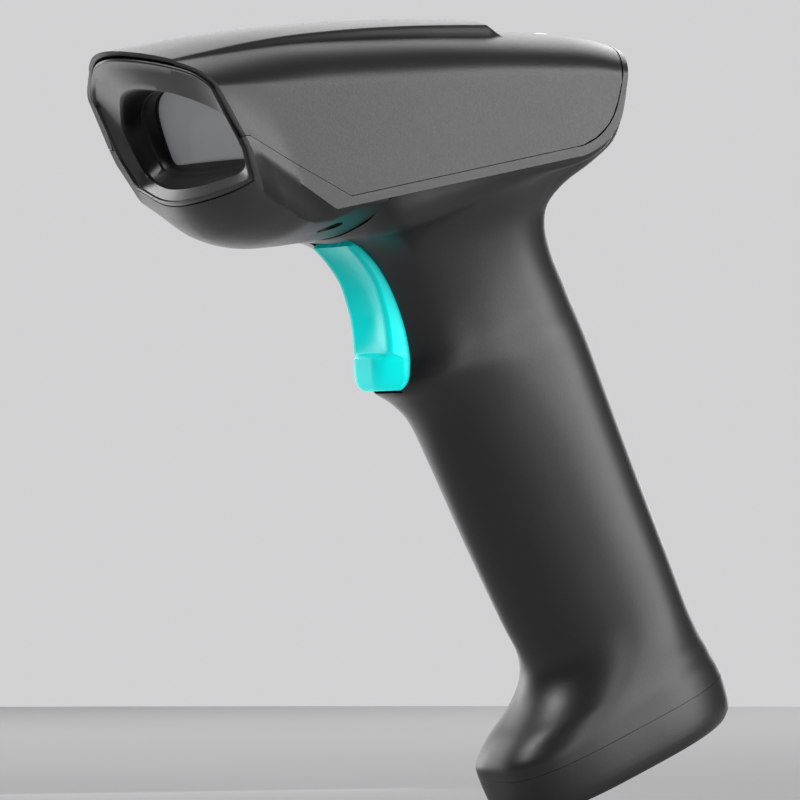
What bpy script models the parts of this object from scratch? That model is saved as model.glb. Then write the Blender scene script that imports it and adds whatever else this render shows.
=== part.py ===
"""Handheld barcode scanner, built as separate pieces. Dimensions are in millimetres.

+Z is up with the head level, the window looks along -Y, and +X is the scanner's left side.
The origin lies on the flat underside of the base cap, in the middle plane.
"""
import math

import bmesh
import bpy
import numpy as np
from mathutils import Matrix, Vector

MM = 0.001
GAP = 0.3                                   # clearance between two touching pieces
WALL = 2.0                                  # moulded wall

HANDLE_TILT = math.radians(24.4)            # handle axis from the vertical
AXIS = Vector((0.0, -math.sin(HANDLE_TILT), math.cos(HANDLE_TILT)))
LONG = Vector((0.0, math.cos(HANDLE_TILT), math.sin(HANDLE_TILT)))
CAP_HEIGHT = 9.2

HEAD_HALF = 30.5                            # head half width
NOSE_HALF = 31.7
NOSE_Y, NOSE_Z = -105.5, 115.8              # lower centre of the leaning nose face
NOSE_LEAN, NOSE_BOW = 0.545, 6.4
REAR_Y, REAR_BOW = -9.0, 6.8
SEAM_T = 0.3142                             # chin to handle seam, as a part of the head's length
HOOP_T = 0.9865                             # front edge of the band over the rear
SHELL_T = 0.983

PIVOT = Vector((0.0, -62.8, 113.2))         # trigger hinge, along X
TRIGGER_HALF = 8.5
WINDOW_TILT = math.radians(13.0)


# ---------------------------------------------------------------- curves
def line(points):
    """Straight segments through (position, value) pairs."""
    xs, ys = zip(*points)
    return lambda x: float(np.interp(x, xs, ys))


def curve(points):
    """A smooth curve without overshoot through (position, value) pairs."""
    xs, ys = (np.array(v, float) for v in zip(*points))
    d = np.diff(ys) / np.diff(xs)
    m = np.empty(len(xs))
    m[0], m[-1] = d[0], d[-1]
    for i in range(1, len(d)):
        same = d[i - 1] * d[i] > 0
        m[i] = 2 * d[i - 1] * d[i] / (d[i - 1] + d[i]) if same else 0.0

    def at(x):
        x = min(max(x, xs[0]), xs[-1])
        i = min(max(int(np.searchsorted(xs, x)) - 1, 0), len(xs) - 2)
        h = xs[i + 1] - xs[i]
        s = (x - xs[i]) / h
        return float(
            ys[i] * (1 + 2 * s) * (1 - s) ** 2 + h * m[i] * s * (1 - s) ** 2
            + ys[i + 1] * s * s * (3 - 2 * s) + h * m[i + 1] * s * s * (s - 1)
        )
    return at


TOP = curve([(-125, 148.5), (-115, 150.2), (-106, 151.7), (-96.6, 152.9), (-87, 153.9),
             (-78, 154.6), (-68, 155.2), (-58, 155.6), (-39, 155.9), (-24, 155.7),
             (-16, 155.1), (-12, 154.4), (-9, 153.6), (-8, 153.3)])
SHOULDER = curve([(-113, 140.3), (-94, 141.0), (-70.7, 142.5), (-46.9, 144.5), (-16, 145.6)])
GROOVE = line([(-106, 130.6), (-82, 118.8), (-27, 130.6), (-23.6, 132.4), (-20.9, 134.9),
               (-19.1, 138.0), (-18.2, 141.2), (-17.8, 144.5)])
EDGE = line([(-104, 127.4), (-85.4, 116.0), (-26.6, 128.5), (-22.3, 130.7), (-19.3, 133.6),
             (-17.5, 136.8), (-16.75, 140.6), (-16.5, 144.5)])
FACET_X = curve([(-101.5, 28.6), (-94, 27.6), (-89, 27.4), (-84, 28.6), (-80, 29.9), (-70, 30.0)])
FACET_Z = curve([(-101.5, 119.6), (-94.5, 115.6), (-89.4, 113.5), (-85, 113.9), (-80, 116.5),
                 (-73, 118.0), (-70, 118.7)])
BELLY = curve([(-106, 115.4), (-104.7, 114.4), (-103, 112.5), (-99.5, 110.3), (-95, 109.1), (-91, 108.7),
               (-85, 109.2), (-80, 109.9), (-72, 111.1)])
SPINE = curve([(0.0, 0.3), (0.12, 0.7), (0.345, 1.5), (0.475, 1.9), (0.78, 2.3)])
SPINE_END = line([(0.712, 1.0), (0.74, 0.0)])
ARCH_POWER = curve([(0.0, 1.75), (0.12, 1.95), (0.3, 2.2), (0.9, 2.2), (1.0, 2.0)])
HALF = curve([(0.0, NOSE_HALF), (0.05, 31.0), (0.11, HEAD_HALF), (1.0, HEAD_HALF)])
ROOF_HALF = curve([(0.0, 30.3), (0.05, 30.4), (0.11, HEAD_HALF), (1.0, HEAD_HALF)])

# handle rings: height, front, back, widest place, half width, front power, back power
RINGS = [
    (9.35, -29.8, 27.4, 1.0, 17.0, 3.4, 2.8), (12.0, -29.6, 27.1, 1.5, 17.0, 3.3, 2.8),
    (14.2, -28.0, 26.8, 2.5, 17.0, 3.0, 2.7), (16.5, -25.0, 26.5, 4.0, 16.9, 2.8, 2.7),
    (19.0, -20.6, 26.0, 6.0, 16.8, 2.5, 2.6), (22.0, -16.4, 25.5, 8.0, 16.7, 2.3, 2.6),
    (25.5, -13.6, 25.1, 9.5, 16.6, 2.1, 2.6), (30.0, -12.2, 25.0, 10.5, 16.5, 2.0, 2.6),
    (38.0, -13.0, 25.1, 11.0, 16.5, 2.0, 2.6), (58.0, -14.4, 25.3, 11.0, 16.6, 2.0, 2.6),
    (78.0, -15.0, 25.7, 11.0, 16.8, 2.15, 2.6),
    (87.0, -15.4, 26.0, 11.0, 16.8, 2.4, 2.6),
]
# neck rings: front (y, z), back (y, z), half width, front power, share of the head outline,
# its drop, sag
NECK = [
    ((-54.0, 76.6), (-14.4, 94.7), 16.9, 2.6, 0.00, 0.00, 0.0),
    ((-57.6, 79.0), (-15.7, 97.5), 16.9, 2.9, 0.01, 0.00, 0.0),
    ((-57.9, 82.0), (-17.2, 100.3), 17.0, 2.9, 0.02, 0.00, 0.0),
    ((-58.1, 85.6), (-18.8, 103.5), 17.1, 2.7, 0.04, 0.00, 0.0),
    ((-59.9, 93.0), (-21.9, 109.3), 17.7, 2.45, 0.09, -0.05, 0.0),
    ((-63.0, 100.9), (-24.0, 114.9), 18.9, 2.35, 0.20, -0.12, 0.0),
    ((-66.2, 105.9), (-23.9, 119.5), 20.4, 2.2, 0.33, -0.20, 0.0),
    ((-69.0, 108.7), (-20.5, 124.1), 22.4, 2.1, 0.48, -0.25, 0.0),
    ((-71.2, 110.1), (-14.4, 129.0), 24.4, 2.0, 0.64, -0.20, 0.0),
    ((-72.2, 110.6), (-9.8, 134.5), 26.2, 2.0, 0.80, -0.08, 1.6),
    ((-72.6, 110.8), (-8.6, 143.0), 27.6, 2.0, 0.93, 0.38, 2.0),
]


# ---------------------------------------------------------------- head surface
def nose_y(x, z):
    bow = math.sin(math.pi / 2 * min(1.0, abs(x) / NOSE_HALF)) ** 2
    return NOSE_Y - NOSE_LEAN * (z - NOSE_Z) + NOSE_BOW * bow


def head_point(t, x, z):
    """A point at part t of the way from the nose face to the rear wall."""
    rear = REAR_Y - REAR_BOW * (x / HEAD_HALF) ** 2
    return (x, (1 - t) * nose_y(x, z) + t * rear, z)


def level(profile, t, x):
    """Height where a side-view profile meets station t at half width x."""
    z = 130.0
    for _ in range(14):
        z = profile(head_point(t, x, z)[1])
    return z


def arch(t, xs, spine=True):
    """Roof heights at half widths xs."""
    half, n = ROOF_HALF(t), ARCH_POWER(t)
    top, side = level(TOP, t, 0), level(SHOULDER, t, half)
    out = []
    for x in xs:
        z = side + (top - side) * max(0.0, 1 - (x / half) ** n) ** (1 / n)
        lift = SPINE(t) * SPINE_END(t) if spine and x < 20 else 0.0
        out.append((x, z + lift))
    return out


def roof_xs(t):
    half = ROOF_HALF(t)
    return [0, 6.5, 13, 19.3, 20.4, 24, 27, half - 1.5, half - 0.4, half]


def chin_section(t):
    """Half section of the chin from the groove to the middle of the belly."""
    half = HALF(t)
    edge = level(EDGE, t, half)
    y_edge = head_point(t, half, edge)[1]
    fx, fz = FACET_X(y_edge), min(level(FACET_Z, t, 29), edge - 0.5)
    low = level(BELLY, t, 0)
    groove = level(GROOVE, t, half) - GAP / 2
    pts = [(half, groove), (half, edge), (fx, fz)]
    for x in (0.86, 0.68, 0.46, 0.23, 0.0):
        pts.append((fx * x, low + (fz - low) * x ** 1.7))
    return pts


def sheet(rows, faces=None, verts=None):
    """Quads between neighbouring rows of points."""
    verts = [] if verts is None else verts
    faces = [] if faces is None else faces
    ids = []
    for row in rows:
        ids.append(list(range(len(verts), len(verts) + len(row))))
        verts.extend(row)
    for a, b in zip(ids, ids[1:]):
        for i in range(len(a) - 1):
            faces.append((a[i], a[i + 1], b[i + 1], b[i]))
    return verts, faces


def mirrored(verts, faces):
    n = len(verts)
    both = list(verts) + [(-x, y, z) for x, y, z in verts]
    return both, list(faces) + [tuple(n + i for i in reversed(f)) for f in faces]


def weld(verts, faces, tol=1e-4):
    seen, remap, out = {}, [], []
    for v in verts:
        key = tuple(round(c / tol) for c in v)
        if key not in seen:
            seen[key] = len(out)
            out.append(v)
        remap.append(seen[key])
    kept = []
    for f in faces:
        g = [remap[i] for i in f]
        g = [v for i, v in enumerate(g) if v != g[i - 1]]
        if len(set(g)) > 2:
            kept.append(tuple(g))
    return out, kept


def thicken(verts, faces, wall):
    """Close an open sheet into a wall that grows inwards, against its normals."""
    verts, faces = weld(verts, faces)
    p = np.array(verts, float)
    sums = np.zeros_like(p)
    normals = []
    for f in faces:
        q = p[list(f)]
        n = np.zeros(3)
        for i in range(len(q)):
            n += np.cross(q[i] - q[0], q[(i + 1) % len(q)] - q[0])
        area = np.linalg.norm(n)
        n = n / area if area > 1e-12 else n
        normals.append(n)
        for i in f:
            sums[i] += n
    unit = sums / np.linalg.norm(sums, axis=1)[:, None]
    worst = np.ones(len(p))
    for f, n in zip(faces, normals):
        for i in f:
            worst[i] = min(worst[i], max(0.72, float(unit[i] @ n)))
    walls = np.array([wall(*v) if callable(wall) else wall for v in p])
    inner = p - unit * (walls / worst)[:, None]
    k = len(p)
    out = list(faces) + [tuple(k + i for i in reversed(f)) for f in faces]
    edges = {}
    for f in faces:
        for a, b in zip(f, f[1:] + f[:1]):
            edges[(a, b)] = edges.get((a, b), 0) + 1
    for a, b in edges:
        if (b, a) not in edges:
            out.append((b, a, k + a, k + b))
    return [tuple(v) for v in np.vstack([p, inner])], out


# ---------------------------------------------------------------- objects
def material(name, colour, roughness, metallic=0.0, alpha=1.0):
    mat = bpy.data.materials.new(name)
    mat.use_nodes = True
    shader = mat.node_tree.nodes["Principled BSDF"]
    shader.inputs["Base Color"].default_value = (*colour, 1.0)
    shader.inputs["Roughness"].default_value = roughness
    shader.inputs["Metallic"].default_value = metallic
    shader.inputs["Alpha"].default_value = alpha
    mat.diffuse_color = (*colour, alpha)
    return mat


LOOKS = {
    "shell": ((0.060, 0.060, 0.062), 0.42, 0.0), "dark": ((0.018, 0.018, 0.020), 0.35, 0.0),
    "cyan": ((0.010, 0.760, 0.740), 0.30, 0.0), "rubber": ((0.022, 0.022, 0.024), 0.75, 0.0),
    "glass": ((0.55, 0.56, 0.58), 0.05, 0.0), "lens": ((0.30, 0.36, 0.50), 0.03, 0.0),
    "board": ((0.012, 0.120, 0.050), 0.45, 0.0), "chip": ((0.020, 0.020, 0.022), 0.40, 0.0),
    "steel": ((0.55, 0.55, 0.57), 0.28, 1.0), "brass": ((0.75, 0.55, 0.24), 0.30, 1.0),
    "tin": ((0.70, 0.71, 0.73), 0.22, 1.0), "white": ((0.78, 0.78, 0.76), 0.45, 0.0),
    "amber": ((0.55, 0.28, 0.08), 0.40, 0.0), "wrap": ((0.03, 0.16, 0.42), 0.35, 0.0),
    "black": ((0.015, 0.015, 0.016), 0.50, 0.0),
}


def piece(name, look, verts, faces, smooth=True):
    """One closed, outward-facing object with its own material."""
    mesh = bpy.data.meshes.new(name)
    mesh.from_pydata([Vector(v) * MM for v in verts], [], faces)
    bm = bmesh.new()
    bm.from_mesh(mesh)
    bmesh.ops.remove_doubles(bm, verts=bm.verts, dist=0.000002)
    bmesh.ops.recalc_face_normals(bm, faces=bm.faces)
    if bm.calc_volume(signed=True) < 0:
        bmesh.ops.reverse_faces(bm, faces=bm.faces)
    bm.to_mesh(mesh)
    bm.free()
    colour, rough, metal = LOOKS[look]
    mesh.materials.append(material(name, colour, rough, metal))
    if smooth:
        mesh.polygons.foreach_set("use_smooth", [True] * len(mesh.polygons))
        mesh.set_sharp_from_angle(angle=math.radians(32))
    obj = bpy.data.objects.new(name, mesh)
    bpy.context.scene.collection.objects.link(obj)
    return obj


def stack(rings, cap=True):
    """Closed body from rings with equal point counts."""
    verts, faces = [], []
    n = len(rings[0])
    for ring in rings:
        verts.extend(ring)
    for k in range(len(rings) - 1):
        for i in range(n):
            j = (i + 1) % n
            faces.append((k * n + i, k * n + j, (k + 1) * n + j, (k + 1) * n + i))
    if cap:
        faces.append(tuple(reversed(range(n))))
        faces.append(tuple((len(rings) - 1) * n + i for i in range(n)))
    else:
        last = (len(rings) - 1) * n
        for i in range(n):
            j = (i + 1) % n
            faces.append((last + i, last + j, j, i))
    return verts, faces


def frame(origin, up, across=(1, 0, 0)):
    """Matrix whose Z is up and X is across, at origin."""
    z = Vector(up).normalized()
    x = Vector(across)
    x = (x - z * x.dot(z)).normalized()
    rot = Matrix((x, z.cross(x), z)).transposed().to_4x4()
    return Matrix.Translation(Vector(origin)) @ rot


def placed(points, place):
    return [tuple(place @ Vector(p)) for p in points]


def block(name, look, size, place, bevel=0.0):
    """Box with its upright edges cut off by bevel, centred on place."""
    a, b, c = (s / 2 for s in size)
    e = bevel
    plan = [(a, b - e), (a - e, b), (e - a, b), (-a, b - e), (-a, e - b), (e - a, -b),
            (a - e, -b), (a, e - b)] if e else [(a, b), (-a, b), (-a, -b), (a, -b)]
    rings = [placed([(x, y, z) for x, y in plan], place) for z in (-c, c)]
    return piece(name, look, *stack(rings), smooth=False)


def turned(name, look, profile, place, segments=20):
    """Solid of revolution about the local Z of place from (radius, height) pairs."""
    rings = []
    for r, z in profile:
        rings.append(placed([(r * math.cos(a), r * math.sin(a), z) for a in
                             (2 * math.pi * i / segments for i in range(segments))], place))
    return piece(name, look, *stack(rings))


def join(obj, extra):
    return cut(obj, [extra], "UNION")


def cut(obj, cutters, operation="DIFFERENCE"):
    """Apply exact Booleans with cutters and remove them."""
    for tool in cutters:
        mod = obj.modifiers.new("cut", "BOOLEAN")
        mod.operation, mod.solver, mod.object = operation, "EXACT", tool
    deps = bpy.context.evaluated_depsgraph_get()
    mesh = bpy.data.meshes.new_from_object(obj.evaluated_get(deps), depsgraph=deps)
    obj.modifiers.clear()
    old, obj.data = obj.data, mesh
    keep = old.materials[0]
    bm = bmesh.new()
    bm.from_mesh(mesh)
    bmesh.ops.remove_doubles(bm, verts=bm.verts, dist=0.000004)
    bmesh.ops.dissolve_degenerate(bm, edges=bm.edges, dist=0.000004)
    bm.to_mesh(mesh)
    bm.free()
    mesh.materials.clear()
    mesh.materials.append(keep)
    mesh.polygons.foreach_set("material_index", [0] * len(mesh.polygons))
    mesh.set_sharp_from_angle(angle=math.radians(32))
    mesh.name = obj.name
    for tool in cutters:
        data = tool.data
        bpy.data.objects.remove(tool)
        bpy.data.meshes.remove(data)
    bpy.data.meshes.remove(old)
    return obj


# ---------------------------------------------------------------- head shells
def front_wall(z):
    """Wall at the shells' front edge, thinner over the top of the window."""
    return WALL + 0.2 - 1.2 * min(1.0, max(0.0, (z - 139.0) / 6.0))


def head_wall(x, y, z):
    return WALL + (front_wall(z) - WALL) * max(0.0, 1 - (y - nose_y(x, z)) / 6.0)


def flush_front(verts, faces):
    """Bring the inner front edge of a thickened shell forward into the nose face."""
    half = len(verts) // 2
    for i, (x, y, z) in enumerate(verts[:half]):
        if abs(y - nose_y(x, z)) < 0.001:
            way = Vector((verts[half + i][0] - x, verts[half + i][2] - z)).normalized()
            u, v = x + way.x * front_wall(z), z + way.y * front_wall(z)
            verts[half + i] = (u, nose_y(u, v), v)
    return verts, faces


UPPER_T = [0.0, 0.02, 0.05, 0.09, 0.135, 0.18, 0.23, 0.28, 0.34, 0.41, 0.49, 0.57, 0.65, 0.712,
           0.74, 0.80, 0.85, 0.885, 0.915, 0.94, 0.96, 0.974, SHELL_T]
CHIN_T = [0.0, 0.02, 0.045, 0.075, 0.105, 0.135, 0.165, 0.20, 0.23, 0.26, 0.29, SEAM_T]


def upper_shell():
    rows = []
    for t in UPPER_T:
        roof = arch(t, roof_xs(t))
        half = HALF(t)
        foot = min(level(GROOVE, t, half) + GAP / 2, roof[-1][1] - 1.2)
        top, shoulder = roof[-1]
        side = [(top + (half - top) * k, shoulder + (foot - shoulder) * k) for k in (0.5, 1.0)]
        rows.append([head_point(t, x, z) for x, z in roof + side])
    solid = flush_front(*thicken(*mirrored(*sheet(rows)), head_wall))
    shell = piece("upper_shell", "shell", *solid)
    hole = turned("hole", "shell", [(2.6, -8), (2.6, 8)], frame((0, -20.4, 155), (0, 0, 1)))
    return cut(shell, [hole])


def band_pairs():
    """Groove-side and edge-side points of the band, from the chin seam over the rear."""
    pairs = []
    for t in (0.40, 0.48, 0.56, 0.64, 0.72, 0.80, 0.86):
        g, e = level(GROOVE, t, HEAD_HALF) - GAP / 2, level(EDGE, t, HEAD_HALF)
        pairs.append((head_point(t, HEAD_HALF, g), head_point(t, HEAD_HALF, e)))
    corner = [((-27.0, 130.45), (-26.6, 128.5)), ((-23.5, 132.2), (-22.3, 130.7)),
              ((-20.75, 134.8), (-19.3, 133.6)), ((-18.95, 137.9), (-17.5, 136.8)),
              ((-18.0, 141.1), (-16.75, 140.6))]
    for g, e in corner:
        pairs.append(((HEAD_HALF, *g), (HEAD_HALF, *e)))
    front, back = arch(HOOP_T, roof_xs(1), False), arch(1.0, roof_xs(1), False)
    for (x, zf), (_, zb) in zip(reversed(front), reversed(back)):
        pairs.append((head_point(HOOP_T, x, zf), head_point(0.9985, x, zb)))
    return pairs


def chin_boss(side):
    """Place on the chin's surface where a screw goes in, with Z into the head."""
    return frame((side * 20, -81.6, 112.7), (-0.25 * side, -0.22, 1))


def chin_frame():
    verts, faces = sheet([[head_point(t, x, z) for x, z in chin_section(t)] for t in CHIN_T])
    start = len(CHIN_T) * 8 - 8
    strip = [(verts[start], verts[start + 1])] + band_pairs()
    sheet(strip, faces, verts)
    solid = flush_front(*thicken(*mirrored(verts, faces), WALL))
    shell = piece("chin_frame", "shell", *solid)
    tools = []
    for side in (1, -1):
        place = chin_boss(side)
        shell = join(shell, turned("boss", "shell", [(4.3, 1.0), (4.3, 7.5)], place, 16))
        tools.append(turned("hole", "shell", [(2.9, -3), (2.9, 5.0), (1.2, 5.0), (1.2, 9)], place, 16))
    return cut(shell, tools)


# ---------------------------------------------------------------- handle
HALF_RING = 24                               # steps from the front to the back of a ring


def ring_angle(j):
    """Angle from the front for half-ring step j, denser towards the back."""
    return math.radians(np.interp(j, (0, 5, 14, 24), (0, 48, 118, 180)))


def egg(angle, front, back, wide, half, nf, nb):
    """Half-ring point of an egg section as (x, position)."""
    c, s = math.cos(angle), math.sin(angle)
    n = nf if c > 0 else nb
    reach = wide - front if c > 0 else back - wide
    pos = wide - math.copysign(abs(c) ** (2 / n), c) * reach
    return half * s ** (2 / n), pos


def crease_loop():
    """Top edge of the handle body: under the chin, along both creases, over the rear."""
    pts = [(0, -72.8, 110.9), (7, -72.8, 111.35), (14, -72.8, 112.5), (21, -72.8, 114.3),
           (25.5, -72.6, 116.6), (27.6, -71.6, 118.4)]
    inner = HEAD_HALF - WALL - GAP
    for y in (-67.5, -62, -56, -50, -44, -38, -32):
        pts.append((inner, y, EDGE(y)))
    pts += [(inner, -26.9, 128.3), (inner, -22.3, 130.5), (inner, -19.0, 133.5),
            (inner, -17.0, 136.8), (inner, -16.0, 141.0)]
    for x in (28.1, 27.0, 24.6, 21.0, 16.0, 8.5, 0.0):
        z = arch(1.0, [x * HEAD_HALF / inner], False)[0][1] - WALL - GAP
        pts.append((x, REAR_Y - REAR_BOW * (x / HEAD_HALF) ** 2, z))
    return pts


def handle_half_rings():
    angles = [ring_angle(j) for j in range(HALF_RING + 1)]
    rows = []
    for h, *shape in RINGS:
        row = []
        for a in angles:
            x, pos = egg(a, *shape)
            row.append(tuple(AXIS * h + LONG * pos + Vector((x, 0, 0))))
        rows.append(row)
    loop = crease_loop()
    f, b = loop[0], loop[-1]
    chord = Vector((0, b[1] - f[1], b[2] - f[2]))
    along, size = chord.normalized(), chord.length
    up = Vector((0, -along.z, along.y))
    local = []
    inner = HEAD_HALF - WALL - GAP
    for x, y, z in loop:
        d = Vector((0, y - f[1], z - f[2]))
        local.append((x / inner, d.dot(along) / size, d.dot(up) / size))
    for front, back, half, power, share, drop, sag in NECK:
        base = [egg(a, 0.0, 1.0, 0.64, 1.0, power, 2.6) for a in angles]
        p = Vector((0, *front))
        chord = Vector((0, *back)) - p
        up = Vector((0, -chord.z, chord.y))
        row = []
        for j, ((ex, ep), (lx, lp, lu)) in enumerate(zip(base, local)):
            x = half * (ex * (1 - share) + lx * share)
            q = p + chord * (ep * (1 - share) + lp * share) + up * (lu * drop)
            low = sag * math.cos(math.radians(min(abs(j - 14) * 18, 90))) ** 2
            row.append((x, q.y + low, q.z - low))
        rows.append(row)
    rows.append(loop)
    return rows


def trigger_slot():
    """Cutter that follows the trigger with clearance."""
    c = GAP + 0.05
    outline = [(-80, 78.6), (-80, 108.6), (-71.35, 108.6), (-71.35, 116.5), (-58, 116.5),
               (-45, 112), (-45, 84.0), (-53.6, 78.6)]
    rings = [[(x, y, z) for y, z in outline] for x in (-TRIGGER_HALF - c, TRIGGER_HALF + c)]
    return piece("slot", "shell", *stack(rings), smooth=False)


def handle_shell():
    verts, faces = sheet(handle_half_rings())
    shell = piece("handle_shell", "shell", *thicken(*mirrored(verts, faces), WALL))
    return cut(shell, [trigger_slot()])


def cap_ring(h, front, back, wide, half, nf, nb, inset=0.0):
    pts = []
    for j in range(48):
        a = 2 * math.pi * j / 48
        x, pos = egg(abs(a if a <= math.pi else 2 * math.pi - a), front + inset, back - inset,
                     wide, half - inset, nf, nb)
        pts.append(tuple(AXIS * h + LONG * pos + Vector((x if a <= math.pi else -x, 0, 0))))
    return pts


def base_cap():
    top = (-29.8, 27.4, 1.0, 17.0, 3.4, 2.8)
    rings = [cap_ring(CAP_HEIGHT - 0.15, *top, inset=WALL), cap_ring(CAP_HEIGHT - 0.15, *top),
             cap_ring(4.5, -29.7, 27.2, 1.0, 16.9, 3.4, 2.7),
             cap_ring(1.7, -29.4, 26.4, 1.0, 16.6, 3.3, 2.6),
             cap_ring(0.0, -28.1, 25.0, 1.0, 15.5, 3.2, 2.4)]
    floor = [cap_ring(2.2, *top, inset=WALL + 0.4)]
    verts, faces = stack(list(reversed(rings)) + floor)
    cap = piece("base_cap", "shell", verts, faces)
    place = frame(LONG * -16.0, AXIS)
    tools = [rounded_slot("port", 9.8, 4.2, place, -2, 6)]
    for pos in (-23.5, 20.5):
        spot = frame(LONG * pos, AXIS)
        tools.append(turned("hole", "shell", [(2.7, -1), (2.7, 1.1), (1.5, 1.1), (1.5, 4)], spot, 16))
    return cut(cap, tools)


def rounded_slot(name, width, height, place, low, high, look="dark"):
    r = height / 2
    plan = []
    for side in (1, -1):
        for k in range(7):
            a = math.radians(-90 + 30 * k)
            plan.append((side * (width / 2 - r) + side * r * math.cos(a), side * r * math.sin(a)))
    rings = [placed([(x, y, z) for x, y in plan], place) for z in (low, high)]
    return piece(name, look, *stack(rings))


# ---------------------------------------------------------------- nose
def outline(points, n=10):
    """Closed outline with equal steps from half an outline given top to bottom."""
    pts = [Vector((x, z)) for x, z in points]
    lengths = [0.0]
    for a, b in zip(pts, pts[1:]):
        lengths.append(lengths[-1] + (b - a).length)
    half = []
    for k in range(2 * n + 1):
        s = lengths[-1] * k / (2 * n)
        half.append((float(np.interp(s, lengths, [p.x for p in pts])),
                     float(np.interp(s, lengths, [p.y for p in pts]))))
    return half + [(-x, z) for x, z in reversed(half[1:-1])]


def face_outline():
    """Half outline of the nose face, as the shells' front edges draw it."""
    return arch(0, roof_xs(0), False) + chin_section(0)


def inset(points, distance):
    """Half outline moved inwards, without the loops that tight corners leave."""
    p = np.array(points, float)
    wide = np.vstack([p[1] * (-1, 1), p, p[-2] * (-1, 1)])
    run = wide[2:] - wide[:-2]
    run /= np.linalg.norm(run, axis=1)[:, None]
    size = np.array([distance(z) for z in p[:, 1]])
    moved = p + np.column_stack([run[:, 1], -run[:, 0]]) * size[:, None]
    return [tuple(m) for m, d in zip(moved, size)
            if np.linalg.norm(p - m, axis=1).min() > 0.97 * d]


def rim(extra):
    """Half outline just inside the shells' front edge."""
    return inset(face_outline(), lambda z: front_wall(z) + GAP + extra)


MOUTH = [(0, 141.5), (6.7, 141.0), (11, 140.3), (16, 138.8), (21, 136.7), (23.8, 134.9),
         (24.5, 132.5), (24.4, 129.5), (23.9, 127), (23.0, 125), (20.5, 123.6), (16.8, 122.8),
         (7.7, 121.3), (0, 120.9)]
SIGHT = [(0, 142.6), (9, 142.6), (15.5, 142.4), (18.4, 141.6), (20.6, 140.2), (21.8, 138.2),
         (21.9, 135.5), (21.3, 132.6), (20.6, 130.2), (19.8, 128.2), (18.6, 127.2),
         (16.6, 126.9), (9, 126.9), (0, 126.9)]


def window_y(z, depth=0.0):
    """Front plane of the tilted window."""
    return -100.2 - math.tan(WINDOW_TILT) * (z - 134.5) + depth


def nose_ring(points, depth, inset=0.0, t=0.0):
    """Ring at a depth behind the nose face, or at station t."""
    ring = []
    mid = Vector((0, 132.5))
    for x, z in outline(points):
        v = Vector((x, z)) - mid
        v = v * (1 - inset / v.length) + mid
        ring.append((v.x, head_point(t, v.x, v.y)[1] + depth, v.y))
    return ring


def nose_bezel():
    rings = [nose_ring(rim(0.5), 3.0), nose_ring(rim(0.05), 0.4), nose_ring(rim(0.35), 0.0),
             nose_ring(rim(0.8), 0.3), nose_ring(MOUTH, 2.5), nose_ring(MOUTH, 3.4, 0.3),
             sight_ring(0.0, 0.0), sight_ring(1.6, 0.0), nose_ring(MOUTH, 5.0, -1.5),
             nose_ring(rim(2.0), 3.0)]
    return piece("nose_bezel", "shell", *stack(rings, cap=False))


def sight_ring(grow, depth):
    mid = Vector((0, 134.5))
    ring = []
    for x, z in outline(SIGHT):
        v = Vector((x, z)) - mid
        v = v * (1 + grow / v.length) + mid
        ring.append((v.x, window_y(v.y, depth), v.y))
    return ring


def window():
    rings = [sight_ring(1.6, 0.3), sight_ring(0.3, 0.3), sight_ring(0.3, 1.0), sight_ring(1.6, 1.0)]
    piece("window_gasket", "rubber", *stack(rings, cap=False), smooth=False)
    piece("window_pane", "glass", *stack([sight_ring(1.7, 1.3), sight_ring(1.7, 2.8)]),
          smooth=False)


def status_lens():
    place = frame((0, -20.4, 155.9), (0, 0, 1))
    turned("status_lens", "lens", [(1.3, -13), (1.6, -12.6), (1.6, -3.2), (2.25, -2.9),
                                   (2.25, -0.3), (1.9, 0.05), (0.9, 0.25)], place, 20)


# ---------------------------------------------------------------- trigger and switch
TRIGGER_FRONT = curve([(79.3, -59.4), (80.4, -60.4), (83.6, -60.9), (89, -61.2), (94.2, -61.9),
                       (98, -63.0), (101.5, -64.3), (106.3, -67.7), (109.4, -70.9)])
TRIGGER_BACK = curve([(79.3, -57.1), (80.8, -56.6), (82.9, -56.0), (86, -55.6), (92, -54.8),
                      (96, -54.8), (101.5, -57.4), (106.3, -60.6), (109.4, -62.8)])
DISH = curve([(79.3, 0.0), (86.4, 0.0), (89.5, 0.8), (97, 1.9), (104, 1.7), (109.4, 0.7)])
TRIGGER_SIDE = curve([(79.3, 5.7), (79.6, 6.6), (80.2, 7.4), (81.0, 8.0), (82.2, 8.4),
                      (83.4, 8.5), (109.4, 8.5)])


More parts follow.
